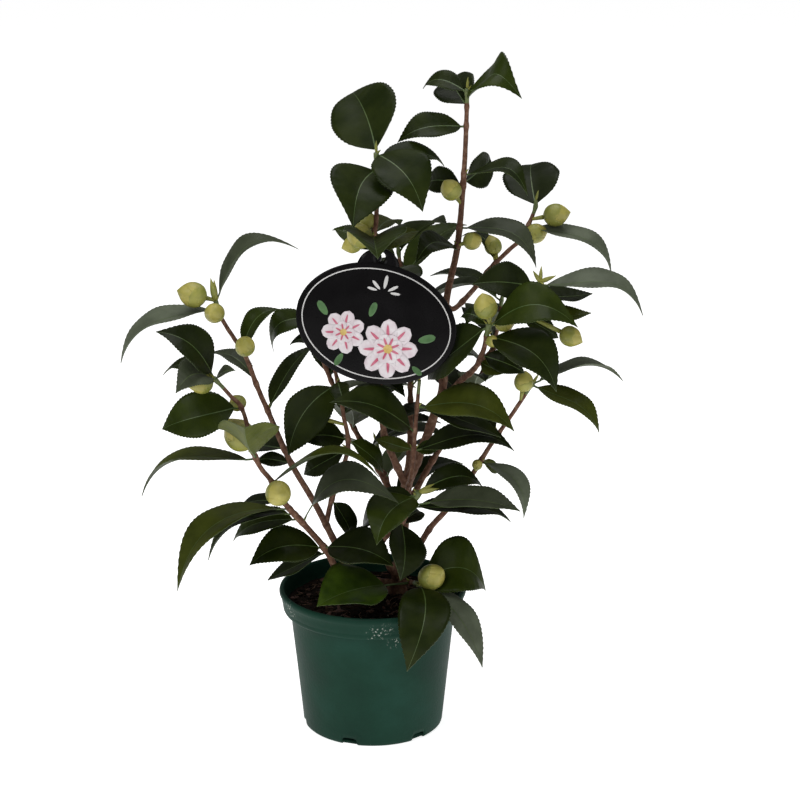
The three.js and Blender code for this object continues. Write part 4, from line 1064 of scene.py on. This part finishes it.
# Broad scales: rows and columns, how many are green, where the outermost ends and starts and by how
# much the innermost differs, half spread in radians, and how far they stand out and how thick they are.
SCALES = {
    "count": 8, "rows": 12, "columns": 9, "green": 5, "top": (0.42, 0.56), "start": (0.01, 0.06),
    "spread": (1.55, -0.30), "taper": 2.6, "proud": 0.085, "thick": 0.16, "sunk": 0.10, "least": 0.02}
CORE = {"rows": 12, "sides": 20, "narrower": 0.95}
BUD_STALK = {"rings": 4, "radius": 1.2, "wider": 0.25}
BUD_PROFILE = [
    (0.0, 0.16), (0.05, 0.42), (0.14, 0.72), (0.28, 0.93), (0.45, 1.0), (0.62, 0.93), (0.77, 0.70),
    (0.89, 0.38), (0.96, 0.16), (1.0, 0.02)]


def fine_bud(build, bud):
    """A fat flower bud: a closed bulb wrapped in broad overlapping scales, on a short stalk."""
    along, side, up, bulb = bud_frame(bud)
    base = bud["tip"] - along * bulb

    def on_bulb(t, angle, proud):
        out = side * math.cos(angle) + up * math.sin(angle)
        radius = bud["radius"] * smooth(BUD_PROFILE, t) * CORE["narrower"]
        return base + along * bulb * t + out * (radius + proud)

    last = BUD_STALK["rings"] - 1
    stalk = []
    for k in range(last + 1):
        thick = BUD_STALK["radius"] + BUD_STALK["wider"] * k
        stalk.append(ring(bud["node"].lerp(base, k / last), side, up, thick, FINE_SIDES))
    build.tube(stalk, ["bud_scale"] * last)
    rows, sides = CORE["rows"], CORE["sides"]
    core = [[on_bulb(t / rows, 2 * math.pi * i / sides, 0) for i in range(sides)] for t in range(rows + 1)]
    build.tube(core, ["bud_petal"] * rows)
    for k in range(SCALES["count"]):
        bud_scale(build, on_bulb, k)


def bud_scale(build, on_bulb, k):
    """One broad scale wrapped round the bulb. The outermost and shortest comes first."""
    inward = k / (SCALES["count"] - 1)
    top, start, spread = (SCALES[key][0] + SCALES[key][1] * inward for key in ("top", "start", "spread"))
    turned = math.radians(RULE["golden"] * k)
    proud = SCALES["proud"] * (SCALES["count"] - k)
    outer, inner = [], []
    for i in range(SCALES["rows"]):
        w = i / (SCALES["rows"] - 1)
        t = start + (top - start) * w
        half = spread * math.sqrt(max(0.0, 1 - w ** SCALES["taper"])) + SCALES["least"]
        lip = proud * (1 - 0.5 * w)
        row_out, row_in = [], []
        for j in range(SCALES["columns"]):
            c = -1 + 2 * j / (SCALES["columns"] - 1)
            thin = SCALES["thick"] * (1 - c * c) * (1 - w * w) + SCALES["least"]
            row_out.append(on_bulb(t, turned + c * half, lip + thin))
            row_in.append(on_bulb(t, turned + c * half, lip - SCALES["sunk"]))
        outer.append(row_out)
        inner.append(row_in)
    kind = "bud_scale" if k < SCALES["green"] else "bud_petal"
    slots = [kind] * (SCALES["columns"] - 1)
    build.slab(outer, inner, slots, slots, kind)


LEAF_BUD = [(0.0, 0.07), (0.12, 0.12), (0.35, 0.14), (0.6, 0.11), (0.85, 0.05), (1.0, 0.01)]


def leaf_bud(build, node, direction, length):
    """A slim pointed leaf bud, whose half width at each share of its length LEAF_BUD gives."""
    along = direction.normalized()
    up = Vector((1, 0.2, 0)).cross(along).normalized()
    side = along.cross(up)
    rings = [ring(node + along * length * t, side, up, length * wide, FINE_SIDES) for t, wide in LEAF_BUD]
    build.tube(rings, ["bud_scale"] * (len(rings) - 1))


# ---- Bark --------------------------------------------------------------------------------------


# Fissures and grain: turns and length of the noise, and its share of the relief. Swellings at nodes.
FISSURE = {"round": 2.2, "long": 9, "share": 1.3}
GRAIN = {"round": 6, "long": 3, "share": 0.7}
SWELLING = {"height": 0.55, "reach": 2.4}
BARK_STEP = 1.6
RELIEF = 0.07


def bark(build, curve, start, stop, radius_at, knots, slot_at, sides=14, relief=RELIEF, seed=0):
    """A limb with lengthwise fissures and a swelling at each of `knots`, in mm from its root."""
    steps = max(4, round(curve.length * (stop - start) / BARK_STEP))
    rings, slots = [], []
    for share, centre, side, up in stations(curve, start, stop, steps):
        place = share * curve.length
        swell = sum(math.exp(-(((place - knot) / SWELLING["reach"]) ** 2)) for knot in knots)
        radius = radius_at(share) + SWELLING["height"] * min(1.0, swell)
        row = []
        for i in range(sides):
            angle = 2 * math.pi * i / sides
            c, s = math.cos(angle), math.sin(angle)
            fissure = noise.noise(Vector((
                FISSURE["round"] * c + seed, FISSURE["round"] * s, place / FISSURE["long"])))
            grain = noise.noise(Vector((
                GRAIN["round"] * c, GRAIN["round"] * s + seed, place / GRAIN["long"])))
            r = radius * (1 + relief * (FISSURE["share"] * fissure + GRAIN["share"] * grain))
            row.append(centre - side * r * c + up * r * s)
        rings.append(row)
        slots.append(slot_at(share))
    build.tube(rings, slots[1:])


# ---- Pot and compost ---------------------------------------------------------------------------

POT_SIDES = 144
# Radius and height round the whole wall, from the edge of the underside to the edge of the floor.
POT_PROFILE = [
    (30, 0.0), (53.2, 0.0), (54.9, 0.45), (56.0, 1.5), (56.4, 3.0), (57.1, 10), (61.0, 48), (64.8, 84),
    (65.7, 95.2), (66.1, 96.4), (67.2, 97.0), (69.8, 97.5), (71.3, 98.0), (71.9, 99.2), (72.2, 101.4),
    (72.1, 101.8), (72.3, 102.2), (73.0, 106), (73.6, 109.8), (74.3, 110.7), (74.9, 112.0), (75.0, 113.3),
    (74.6, 114.8), (73.6, 115.8), (72.6, 116.0), (71.7, 115.5), (71.1, 114.0), (70.4, 104), (70.2, 99.5),
    (69.4, 98.9), (64.8, 98.2), (64.1, 96.5), (58.8, 40), (54.6, 4.0), (53.6, 3.1), (30, 3.0)]
NOTCH = {
    "count": 6, "width": 13, "height": 6.5, "first_angle": -19, "steps": 12, "below": 3, "through": (52, 62)}
# Slight unevenness of the wall: its height, its noise round and up the wall, and where it is full.
WOBBLE = {"height": 0.25, "round": 1.3, "up": 60, "full": 20}


def make_pot():
    build = Build()
    turns = [2 * math.pi * i / POT_SIDES for i in range(POT_SIDES)]
    rings = []
    for radius, height in POT_PROFILE:
        row = []
        for a in turns:
            c, s = WOBBLE["round"] * math.cos(a), WOBBLE["round"] * math.sin(a)
            wobble = WOBBLE["height"] * noise.noise(Vector((c, s, height / WOBBLE["up"])))
            r = radius + wobble * min(1, height / WOBBLE["full"])
            row.append(Vector((r * math.sin(a), -r * math.cos(a), height)))
        rings.append(row)
    build.tube(rings, ["pot"] * len(rings))
    pot = build.piece("nursery_pot", {"pot": pot_plastic()}, ["pot"], "pot")
    notches = Build()
    for i in range(NOTCH["count"]):
        angle = math.radians(NOTCH["first_angle"] + 360 / NOTCH["count"] * i)
        out = Vector((math.sin(angle), -math.cos(angle), 0))
        across = Vector((math.cos(angle), math.sin(angle), 0))
        arch = []
        for k in range(NOTCH["steps"] + 1):
            turn = math.pi * k / NOTCH["steps"]
            wide = -math.copysign(abs(math.cos(turn)) ** 0.5, math.cos(turn)) * NOTCH["width"] / 2
            arch.append(across * wide + UP * NOTCH["height"] * math.sin(turn) ** 0.5)
        arch = [arch[0] - UP * NOTCH["below"], *arch, arch[-1] - UP * NOTCH["below"]]
        notches.tube([[p + out * far for p in arch] for far in NOTCH["through"]], ["pot"])
    cutter = notches.piece("notches", {"pot": pot.data.materials[0]}, [], "pot")
    cut = pot.modifiers.new("cut", "BOOLEAN")
    cut.object = cutter
    cut.solver = "EXACT"
    shape = bpy.data.meshes.new_from_object(pot.evaluated_get(bpy.context.evaluated_depsgraph_get()))
    pot.modifiers.clear()
    pot.data = shape
    bpy.data.objects.remove(cutter)
    return pot


POT_FINISH = (
    "pot_plastic",
    [(0.34, (0.005, 0.029, 0.018)), (0.52, (0.007, 0.037, 0.023)), (0.68, (0.010, 0.046, 0.031))],
    (0.50, 0.62), 22.0, (420.0, 0.0002), 0.1)
# Pale flecks of dried lime, which also paint a highlight below the collar: the noise they come from, where
# they begin and are full, and how much they cover.
LIME_AND_HIGHLIGHT = {
    "scale": 520.0, "detail": 3.0, "from": 0.58, "full": 0.66, "cover": 0.7, "inner": 0.3,
    "colour": (0.55, 0.58, 0.52, 1.0)}
# Where pale flecks lie on the pot, in metres, and how far each reaches. The first and last are dried lime;
# the middle two are lime and a painted highlight below the collar.
LIME_AND_HIGHLIGHT_SPOTS = [
    ((0.0035, -0.073, 0.103), 0.009), ((0.012, -0.073, 0.107), 0.007), ((0.019, -0.064, 0.093), 0.008),
    ((-0.064, -0.034, 0.108), 0.009)]


def combine(made, operation, first, second):
    node = add_node(made, "ShaderNodeMath", [(0, first), (1, second)])
    node.operation = operation
    return node.outputs["Value"]


def pot_plastic():
    """Dark green plastic, a little faded and streaked, with pale flecks below the rim: dried lime and a
    painted highlight.
    """
    made = patterned(*POT_FINISH)
    shader = made.node_tree.nodes["Principled BSDF"]
    colour = shader.inputs["Base Color"].links[0].from_socket
    place = add_node(made, "ShaderNodeTexCoord").outputs["Object"]
    spots = add_node(
        made, "ShaderNodeTexNoise", [("Vector", place)], Scale=LIME_AND_HIGHLIGHT["scale"], Detail=LIME_AND_HIGHLIGHT["detail"])
    flecks = value_map(made, spots.outputs["Fac"], LIME_AND_HIGHLIGHT["from"], LIME_AND_HIGHLIGHT["full"], 0.0, LIME_AND_HIGHLIGHT["cover"])
    lime_and_highlight_area = None
    for centre, reach in LIME_AND_HIGHLIGHT_SPOTS:
        far = add_node(made, "ShaderNodeVectorMath", [(0, place)])
        far.operation = "DISTANCE"
        far.inputs[1].default_value = centre
        near = value_map(made, far.outputs["Value"], LIME_AND_HIGHLIGHT["inner"] * reach, reach, 1.0, 0.0)
        lime_and_highlight_area = near if lime_and_highlight_area is None else combine(made, "MAXIMUM", lime_and_highlight_area, near)
    # pale flecks over the colour: dried lime, and at the front right a painted highlight below the collar
    share = combine(made, "MULTIPLY", flecks, lime_and_highlight_area)
    mix = made.node_tree.nodes.new("ShaderNodeMix")
    mix.data_type = "RGBA"
    made.node_tree.links.new(share, mix.inputs["Factor"])
    made.node_tree.links.new(colour, mix.inputs["A"])
    mix.inputs["B"].default_value = LIME_AND_HIGHLIGHT["colour"]
    link(made, mix.outputs["Result"], "Base Color")
    return made


SOIL_EDGE = 69.8
SOIL_RINGS = 34
SOIL_SIDES = 120
SOIL_UNDER = [(60, 99.3), (SOIL_EDGE, 100)]  # radius and height of the underside
# Relief of the compost: width of its lumps, height and layer of the noise. Drop at the trunk and the wall.
LUMPS = [(13, 1.5, 2.0), (5, 0.75, 7.0), (1.9, 0.6, 4.0)]
SOIL_DROP = (1.0, 2.0)
CRUMBS = {"crumb": 420, "chip": 170, "reddish": 90, "perlite": 20, "fibre": 60}
CRUMB_MARGIN = 5  # how far crumbs stay from the wall
# Half length, half width and half height of the bits.
CRUMB_SIZES = {
    "crumb": (1.6, 1.3, 1.2), "chip": (3.4, 1.9, 0.8), "reddish": (4.2, 1.8, 0.7), "perlite": (1.2, 1.1, 1.0)}
CRUMB = {"ends": (-1.0, -0.7, 0.0, 0.7, 1.0), "sides": 7, "least": 0.06, "sits": 0.3}
FIBRE = {"shares": (0, 0.25, 0.5, 0.75, 1), "lift": 0.7, "radius": 0.22, "sides": 5}
SOIL_FINISHES = {
    "peat": (
        "peat",
        [(0.35, (0.005, 0.0025, 0.0018)), (0.6, (0.013, 0.007, 0.0045)), (0.75, (0.028, 0.015, 0.009))],
        (0.85, 0.95), 420.0, (900.0, 0.0012), 0.1),
    "crumb": (
        "soil_crumb", [(0.35, (0.006, 0.0035, 0.0025)), (0.7, (0.018, 0.010, 0.006))],
        (0.85, 0.95), 500.0, (1200.0, 0.0006), 0.1),
    "chip": (
        "bark_chip", [(0.35, (0.016, 0.008, 0.005)), (0.7, (0.040, 0.020, 0.011))],
        (0.75, 0.9), 400.0, (1200.0, 0.0006), 0.1),
    "reddish": (
        "red_chip", [(0.35, (0.045, 0.016, 0.010)), (0.7, (0.100, 0.038, 0.021))],
        (0.7, 0.85), 400.0, (1200.0, 0.0006)),
    "perlite": (
        "perlite", [(0.35, (0.26, 0.25, 0.22)), (0.7, (0.42, 0.40, 0.36))],
        (0.85, 0.95), 700.0, (1500.0, 0.0004)),
    "fibre": (
        "fibre", [(0.35, (0.110, 0.060, 0.035)), (0.7, (0.190, 0.110, 0.065))],
        (0.7, 0.85), 300.0, (1200.0, 0.0003)),
}


def soil_height(x, y):
    relief = sum(tall * noise.noise(Vector((x / wide, y / wide, layer))) for wide, tall, layer in LUMPS)
    return SOIL_LEVEL - SOIL_DROP[0] - SOIL_DROP[1] * math.hypot(x, y) / SOIL_EDGE + relief


def make_soil():
    build = Build()
    turns = [2 * math.pi * i / SOIL_SIDES for i in range(SOIL_SIDES)]
    rings = [
        [Vector((radius * math.cos(a), radius * math.sin(a), height)) for a in turns]
        for radius, height in SOIL_UNDER]
    for k in range(SOIL_RINGS):
        radius = SOIL_EDGE * (1 - k / SOIL_RINGS)
        flat = [(radius * math.cos(a), radius * math.sin(a)) for a in turns]
        rings.append([Vector((x, y, soil_height(x, y))) for x, y in flat])
    build.tube(rings, ["peat"] * len(rings))
    random = seeded(71)
    for kind, count in CRUMBS.items():
        for _ in range(count):
            radius = (SOIL_EDGE - CRUMB_MARGIN) * math.sqrt(random())
            angle = 2 * math.pi * random()
            x, y = radius * math.cos(angle), radius * math.sin(angle)
            crumb(build, kind, Vector((x, y, soil_height(x, y))), random)
    build.piece("compost", finishes(SOIL_FINISHES), ["soil"], "soil")


def crumb(build, kind, ground, random):
    """One bit on the compost: a rough grain, a flat chip or a bent fibre, sunk a little way in."""
    turn = 2 * math.pi * random()
    along = Vector((math.cos(turn), math.sin(turn), 0.7 * (random() - 0.5))).normalized()
    up = (UP + Vector((random() - 0.5, random() - 0.5, 0)) * 0.8).normalized()
    side = along.cross(up).normalized()
    up = side.cross(along)
    rings = []
    if kind == "fibre":
        length, bend = 6 + 12 * random(), 2 + 3 * random()
        for t in FIBRE["shares"]:
            centre = ground + along * length * (t - 0.5) + side * bend * t * (1 - t) * 4 + UP * FIBRE["lift"]
            rings.append(ring(centre, side, up, FIBRE["radius"], FIBRE["sides"]))
        build.tube(rings, [kind] * len(rings))
        return
    scale = 0.55 + 0.75 * random()
    long, wide, tall = [size * scale for size in CRUMB_SIZES[kind]]
    for share in CRUMB["ends"]:
        squeeze = math.sqrt(max(CRUMB["least"], 1 - share * share))
        centre = ground + along * long * share
        row = []
        for i in range(CRUMB["sides"]):
            angle = 2 * math.pi * i / CRUMB["sides"]
            rough = squeeze * (0.75 + 0.5 * random())
            out = side * wide * rough * math.cos(angle)
            row.append(centre + out + up * tall * rough * math.sin(angle) + UP * tall * CRUMB["sits"])
        rings.append(row)
    build.tube(rings, [kind] * len(rings))


# ---- Label -------------------------------------------------------------------------------------

LABEL = {
    "semi": [62, 46], "roll": 13, "lean": 10, "thickness": 1.2, "hangs": 199, "drop": 48.6, "ring": 1.4}
CARD_SIDES = 120
# Inset of the card's edge, and height from its back or below its front, for a softened edge.
CARD_EDGE = [(30, 0), (1, 0), (0.25, 0.12), (0, 0.4)]
DOME = {
    "centre": (1.5, 42), "semi": (16.5, 15.5), "hole": (3.5, 51), "bore": 3.6, "slit": 0.34,
    "outer_slit": 0.11, "steps": 48, "shares": (0, 0.25, 0.6, 1), "inset": 0.15}
LINE = {"inset": 4.2, "width": 0.9, "proud": 0.12}
SUNK = 0.02  # how far what is printed reaches into the card
COLLAR = {"half": 2.4, "sides": 32, "inset": 0.4}
PETAL = {"steps": 10, "columns": 6, "proud": 0.12, "least": 0.02, "widest": 1.15, "rise": 0.25, "cup": 0.15}
# Blossoms: centre, radius, count of petals and turn. Sprigs: where a leaf starts, its heading and length.
BLOSSOMS = [((13, -17), 23, 8, 10), ((-23, -12), 17, 7, 35)]
HEARTS = 6
SPRIGS = [(-38, -2, 135, 13), (-6, 4, 80, 12), (34, -6, 25, 14), (34, -26, -30, 10), (-20, -28, -110, 11)]
FAN = [(0, 27, 90, 11), (-3, 26, 142, 9), (3, 26, 38, 9), (-5, 25, 176, 8), (5, 25, 4, 8)]
PRINT_FINISH = ((0.3, 0.4), 160.0, (600.0, 0.00004))
LABEL_FINISHES = {
    "card": (
        "label_card", [(0.3, (0.003, 0.0026, 0.003)), (0.7, (0.005, 0.0045, 0.005))],
        (0.22, 0.30), 40.0, (600.0, 0.00004), 0.15),
    "white": (
        "label_white", [(0.3, (0.62, 0.61, 0.60)), (0.7, (0.70, 0.69, 0.68))],
        (0.3, 0.4), 80.0, (600.0, 0.00004)),
    "petal": ("label_petal", [(0.3, (0.66, 0.56, 0.60)), (0.7, (0.80, 0.76, 0.78))], *PRINT_FINISH),
    "streak": ("label_streak", [(0.3, (0.50, 0.07, 0.14)), (0.7, (0.62, 0.20, 0.28))], *PRINT_FINISH),
    "heart": ("label_heart", [(0.3, (0.60, 0.40, 0.10)), (0.7, (0.72, 0.55, 0.20))], *PRINT_FINISH),
    "sprig": ("label_sprig", [(0.3, (0.05, 0.12, 0.04)), (0.7, (0.09, 0.20, 0.07))], *PRINT_FINISH),
}


def make_label(curve):
    """An oval card hung by its slotted tab, with a white line round it and a sprig of simple blossoms."""
    share = LABEL["hangs"] / curve.length
    stem = curve.at(share)
    bore = blend(SHOOTS["left_leader"]["radii"], share) + 2.5 * GAP
    outer = bore + LABEL["ring"]
    roll, lean = math.radians(LABEL["roll"]), math.radians(90 - LABEL["lean"])
    hang = Vector((stem.x, stem.y - outer + COLLAR["inset"], stem.z))

    def upright(x, y, z):
        y -= LABEL["drop"]
        return hang + Vector((
            x, y * math.cos(lean) - z * math.sin(lean), y * math.sin(lean) + z * math.cos(lean)))

    def rolled(x, y, z):
        return upright(x * math.cos(roll) + y * math.sin(roll), y * math.cos(roll) - x * math.sin(roll), z)

    build = Build()
    card(build, upright, rolled)
    blossoms(build, rolled)
    collar(build, stem, curve.tangent(share), bore, outer)
    build.piece("hanging_label", finishes(LABEL_FINISHES), ["plant_label"], "label")


def card(build, upright, rolled):
    """The oval card, the domed tab with its slotted hole, and the white line near the card's edge."""
    thick = LABEL["thickness"]
    turns = [2 * math.pi * i / CARD_SIDES for i in range(CARD_SIDES)]

    def on_card(a, inset, z):
        wide, tall = LABEL["semi"]
        return rolled((wide - inset) * math.cos(a), (tall - inset) * math.sin(a), z)

    edge = CARD_EDGE + [(inset, thick - z) for inset, z in CARD_EDGE[::-1]]
    build.tube([[on_card(a, inset, z) for a in turns] for inset, z in edge], ["card"] * len(edge))
    front, back = [], []
    for k in range(DOME["steps"] + 1):
        ends = []
        for about, (wide, tall), slit in (
                (DOME["hole"], (DOME["bore"], DOME["bore"]), DOME["slit"]),
                (DOME["centre"], DOME["semi"], DOME["outer_slit"])):
            turn = math.pi / 2 + slit + (2 * math.pi - 2 * slit) * k / DOME["steps"]
            ends.append((about[0] + wide * math.cos(turn), about[1] + tall * math.sin(turn)))
        (x0, y0), (x1, y1) = ends
        flat = [(x0 + (x1 - x0) * w, y0 + (y1 - y0) * w) for w in DOME["shares"]]
        front.append([upright(x, y, thick - DOME["inset"]) for x, y in flat])
        back.append([upright(x, y, DOME["inset"]) for x, y in flat])
    slots = ["card"] * (len(DOME["shares"]) - 1)
    build.slab(front, back, slots, slots, "card")
    inner = LINE["inset"] + LINE["width"]
    corners = [(LINE["inset"], 0.0), (LINE["inset"], LINE["proud"]), (inner, LINE["proud"]), (inner, 0.0)]
    band = [[on_card(a, inset, thick - SUNK + proud) for inset, proud in corners] for a in turns]
    build.tube(band, ["white"] * len(band), loop=True)


def blossoms(build, rolled):
    """Two round-petalled blossoms, five leaves and a fan of short strokes, standing a little proud."""
    thick = LABEL["thickness"]

    def petal(x, y, turn, length, width, slot, lift=0.0):
        """A rounded petal or leaf, a little cupped, lying on the card."""
        c, s = math.cos(math.radians(turn)), math.sin(math.radians(turn))
        upper, lower = [], []
        for k in range(PETAL["steps"] + 1):
            t = k / PETAL["steps"]
            round_end = math.sqrt(max(0.0, 1 - (2 * t ** PETAL["widest"] - 1) ** 2))
            half = max(PETAL["least"], width / 2 * round_end)
            row_up, row_low = [], []
            for j in range(PETAL["columns"] + 1):
                across = (2 * j / PETAL["columns"] - 1) * half
                px, py = x + c * length * t - s * across, y + s * length * t + c * across
                cup = PETAL["rise"] * t + PETAL["cup"] * (across / half) ** 2 + lift
                row_up.append(rolled(px, py, thick + PETAL["proud"] + cup))
                row_low.append(rolled(px, py, thick - SUNK))
            upper.append(row_up)
            lower.append(row_low)
        slots = [slot] * PETAL["columns"]
        build.slab(upper, lower, slots, slots, slot)

    for (x, y), radius, count, turned in BLOSSOMS:
        for k in range(count):
            angle = turned + 360 * k / count
            petal(x, y, angle, radius, 1.5 * math.pi * radius / count, "petal", 0.06 * (k % 2))
            petal(x, y, angle + 3, radius * 0.82, radius * 0.10, "streak", 0.18 + 0.06 * (k % 2))
        for k in range(count):
            angle = turned + 360 * (k + 0.5) / count
            petal(x, y, angle, radius * 0.52, radius * 0.42, "petal", 0.34)
            petal(x, y, angle, radius * 0.40, radius * 0.08, "streak", 0.46)
        for k in range(HEARTS):
            petal(x, y, 360 / HEARTS * k, radius * 0.16, radius * 0.14, "heart", 0.6)
    for x, y, turned, length in SPRIGS:
        petal(x, y, turned, length, length * 0.45, "sprig")
    for x, y, turned, length in FAN:
        petal(x, y, turned, length, length * 0.26, "white")


def collar(build, stem, tangent, bore, outer):
    """The short sleeve by which the card hangs, round the stem with a little play."""
    across = UP.cross(tangent).normalized() if abs(tangent.z) < 0.999 else RIGHT
    other = tangent.cross(across)
    half = COLLAR["half"]
    sleeve = []
    for k in range(COLLAR["sides"]):
        turn = 2 * math.pi * k / COLLAR["sides"]
        out = across * math.cos(turn) + other * math.sin(turn)
        corners = ((bore, -half), (outer, -half), (outer, half), (bore, half))
        sleeve.append([stem + out * r + tangent * z for r, z in corners])
    build.tube(sleeve, ["card"] * len(sleeve), loop=True)


# ---- Making the pieces -------------------------------------------------------------------------


BARE_KNOTS = [20, 52, 91, 137]  # old leaf scars on the bare part of a limb, mm from its root
GROWN_KNOTS = 13
DEEPER = -0.1  # the bark lies this much inside the solid limbs, in mm
GREEN_END = 11  # green part of a shoot, in mm from its tip
TRUNK_BARK = {"sides": 28, "relief": 0.09}
LIMB_BARK = {"sides": 18}
TWIG_BARK = {"sides": 8, "radius": 1.5, "taper": 0.5}
TIP_BUD = 9
SIDE_BUD = 6.5
TINT_SEED = 100


def dress_plant(curves, plant):
    """Bark on every limb, the leaves of each shoot, and flower and leaf buds."""
    leaves = leaf_materials()
    twig_stuff = finishes(BARK_FINISHES)
    bud_stuff = finishes(BUD_FINISHES)
    limbs, shoots, buds = Build(), Build(), Build()
    trunk = curves["trunk"]
    bark(limbs, trunk, 0, 1, trunk_radius(trunk, DEEPER), [], lambda share: "bark", **TRUNK_BARK)
    for number, (name, shoot) in enumerate(SHOOTS.items()):
        curve = curves[name]
        split = shoot["bare"] / curve.length
        grown = plant[name]
        knots = [curve.length - below_tip(curve, row[0]) for row in shoot.get("leaves", [])]
        if "grows" in shoot:
            first = curve.length - shoot["grows"]
            knots = [first + k * RULE["spacing"] for k in range(1, GROWN_KNOTS + 1)]
        radius = shoot_radius(shoot, DEEPER)
        bark(limbs, curve, 0, split, radius, BARE_KNOTS, lambda share: "bark", **LIMB_BARK, seed=number)
        green = 1 - GREEN_END / curve.length
        bark(
            shoots, curve, split, 1, radius, knots,
            lambda share, green=green: "green" if share > green else "bark", seed=number)
        for line in grown["twigs"]:
            bark(
                shoots, line, 0, 1, lambda share: TWIG_BARK["radius"] - TWIG_BARK["taper"] * share, [],
                lambda share: "green", sides=TWIG_BARK["sides"], seed=number)
        random = seeded(shoot["seed"] + TINT_SEED)
        build = Build()
        for leaf in grown["leaves"]:
            tint = tint_for(leaf, random)
            fine_leaf(build, leaf, tint, leaf.get("under", "under"), random)
        build.piece(f"leaves_{name}", leaves, [f"foliage_{name}"], "foliage")
        for bud in grown["buds"]:
            fine_bud(buds, bud)
        for reach in TUFTS.get(name, [curve.tangent(1) * TIP_BUD]):
            leaf_bud(buds, curve.at(1), Vector(reach), Vector(reach).length)
        for leaf in grown["leaves"][::2]:
            direction = (leaf["tip"] - leaf["node"]).normalized() + UP * 1.2
            leaf_bud(buds, leaf["node"], direction, SIDE_BUD)
    boughs = [f"bough_{name}" for name in SHOOTS]
    limbs.piece("bark_limbs", twig_stuff, ["trunk", *boughs], "bark")
    shoots.piece("leafy_shoots", twig_stuff, [], "foliage")
    buds.piece("buds", bud_stuff, [], "foliage")


make_camera()
make_lights()
make_floor()

curves, plant = grow_plant()
dress_plant(curves, plant)
make_pot()
make_soil()
make_label(curves["left_leader"])
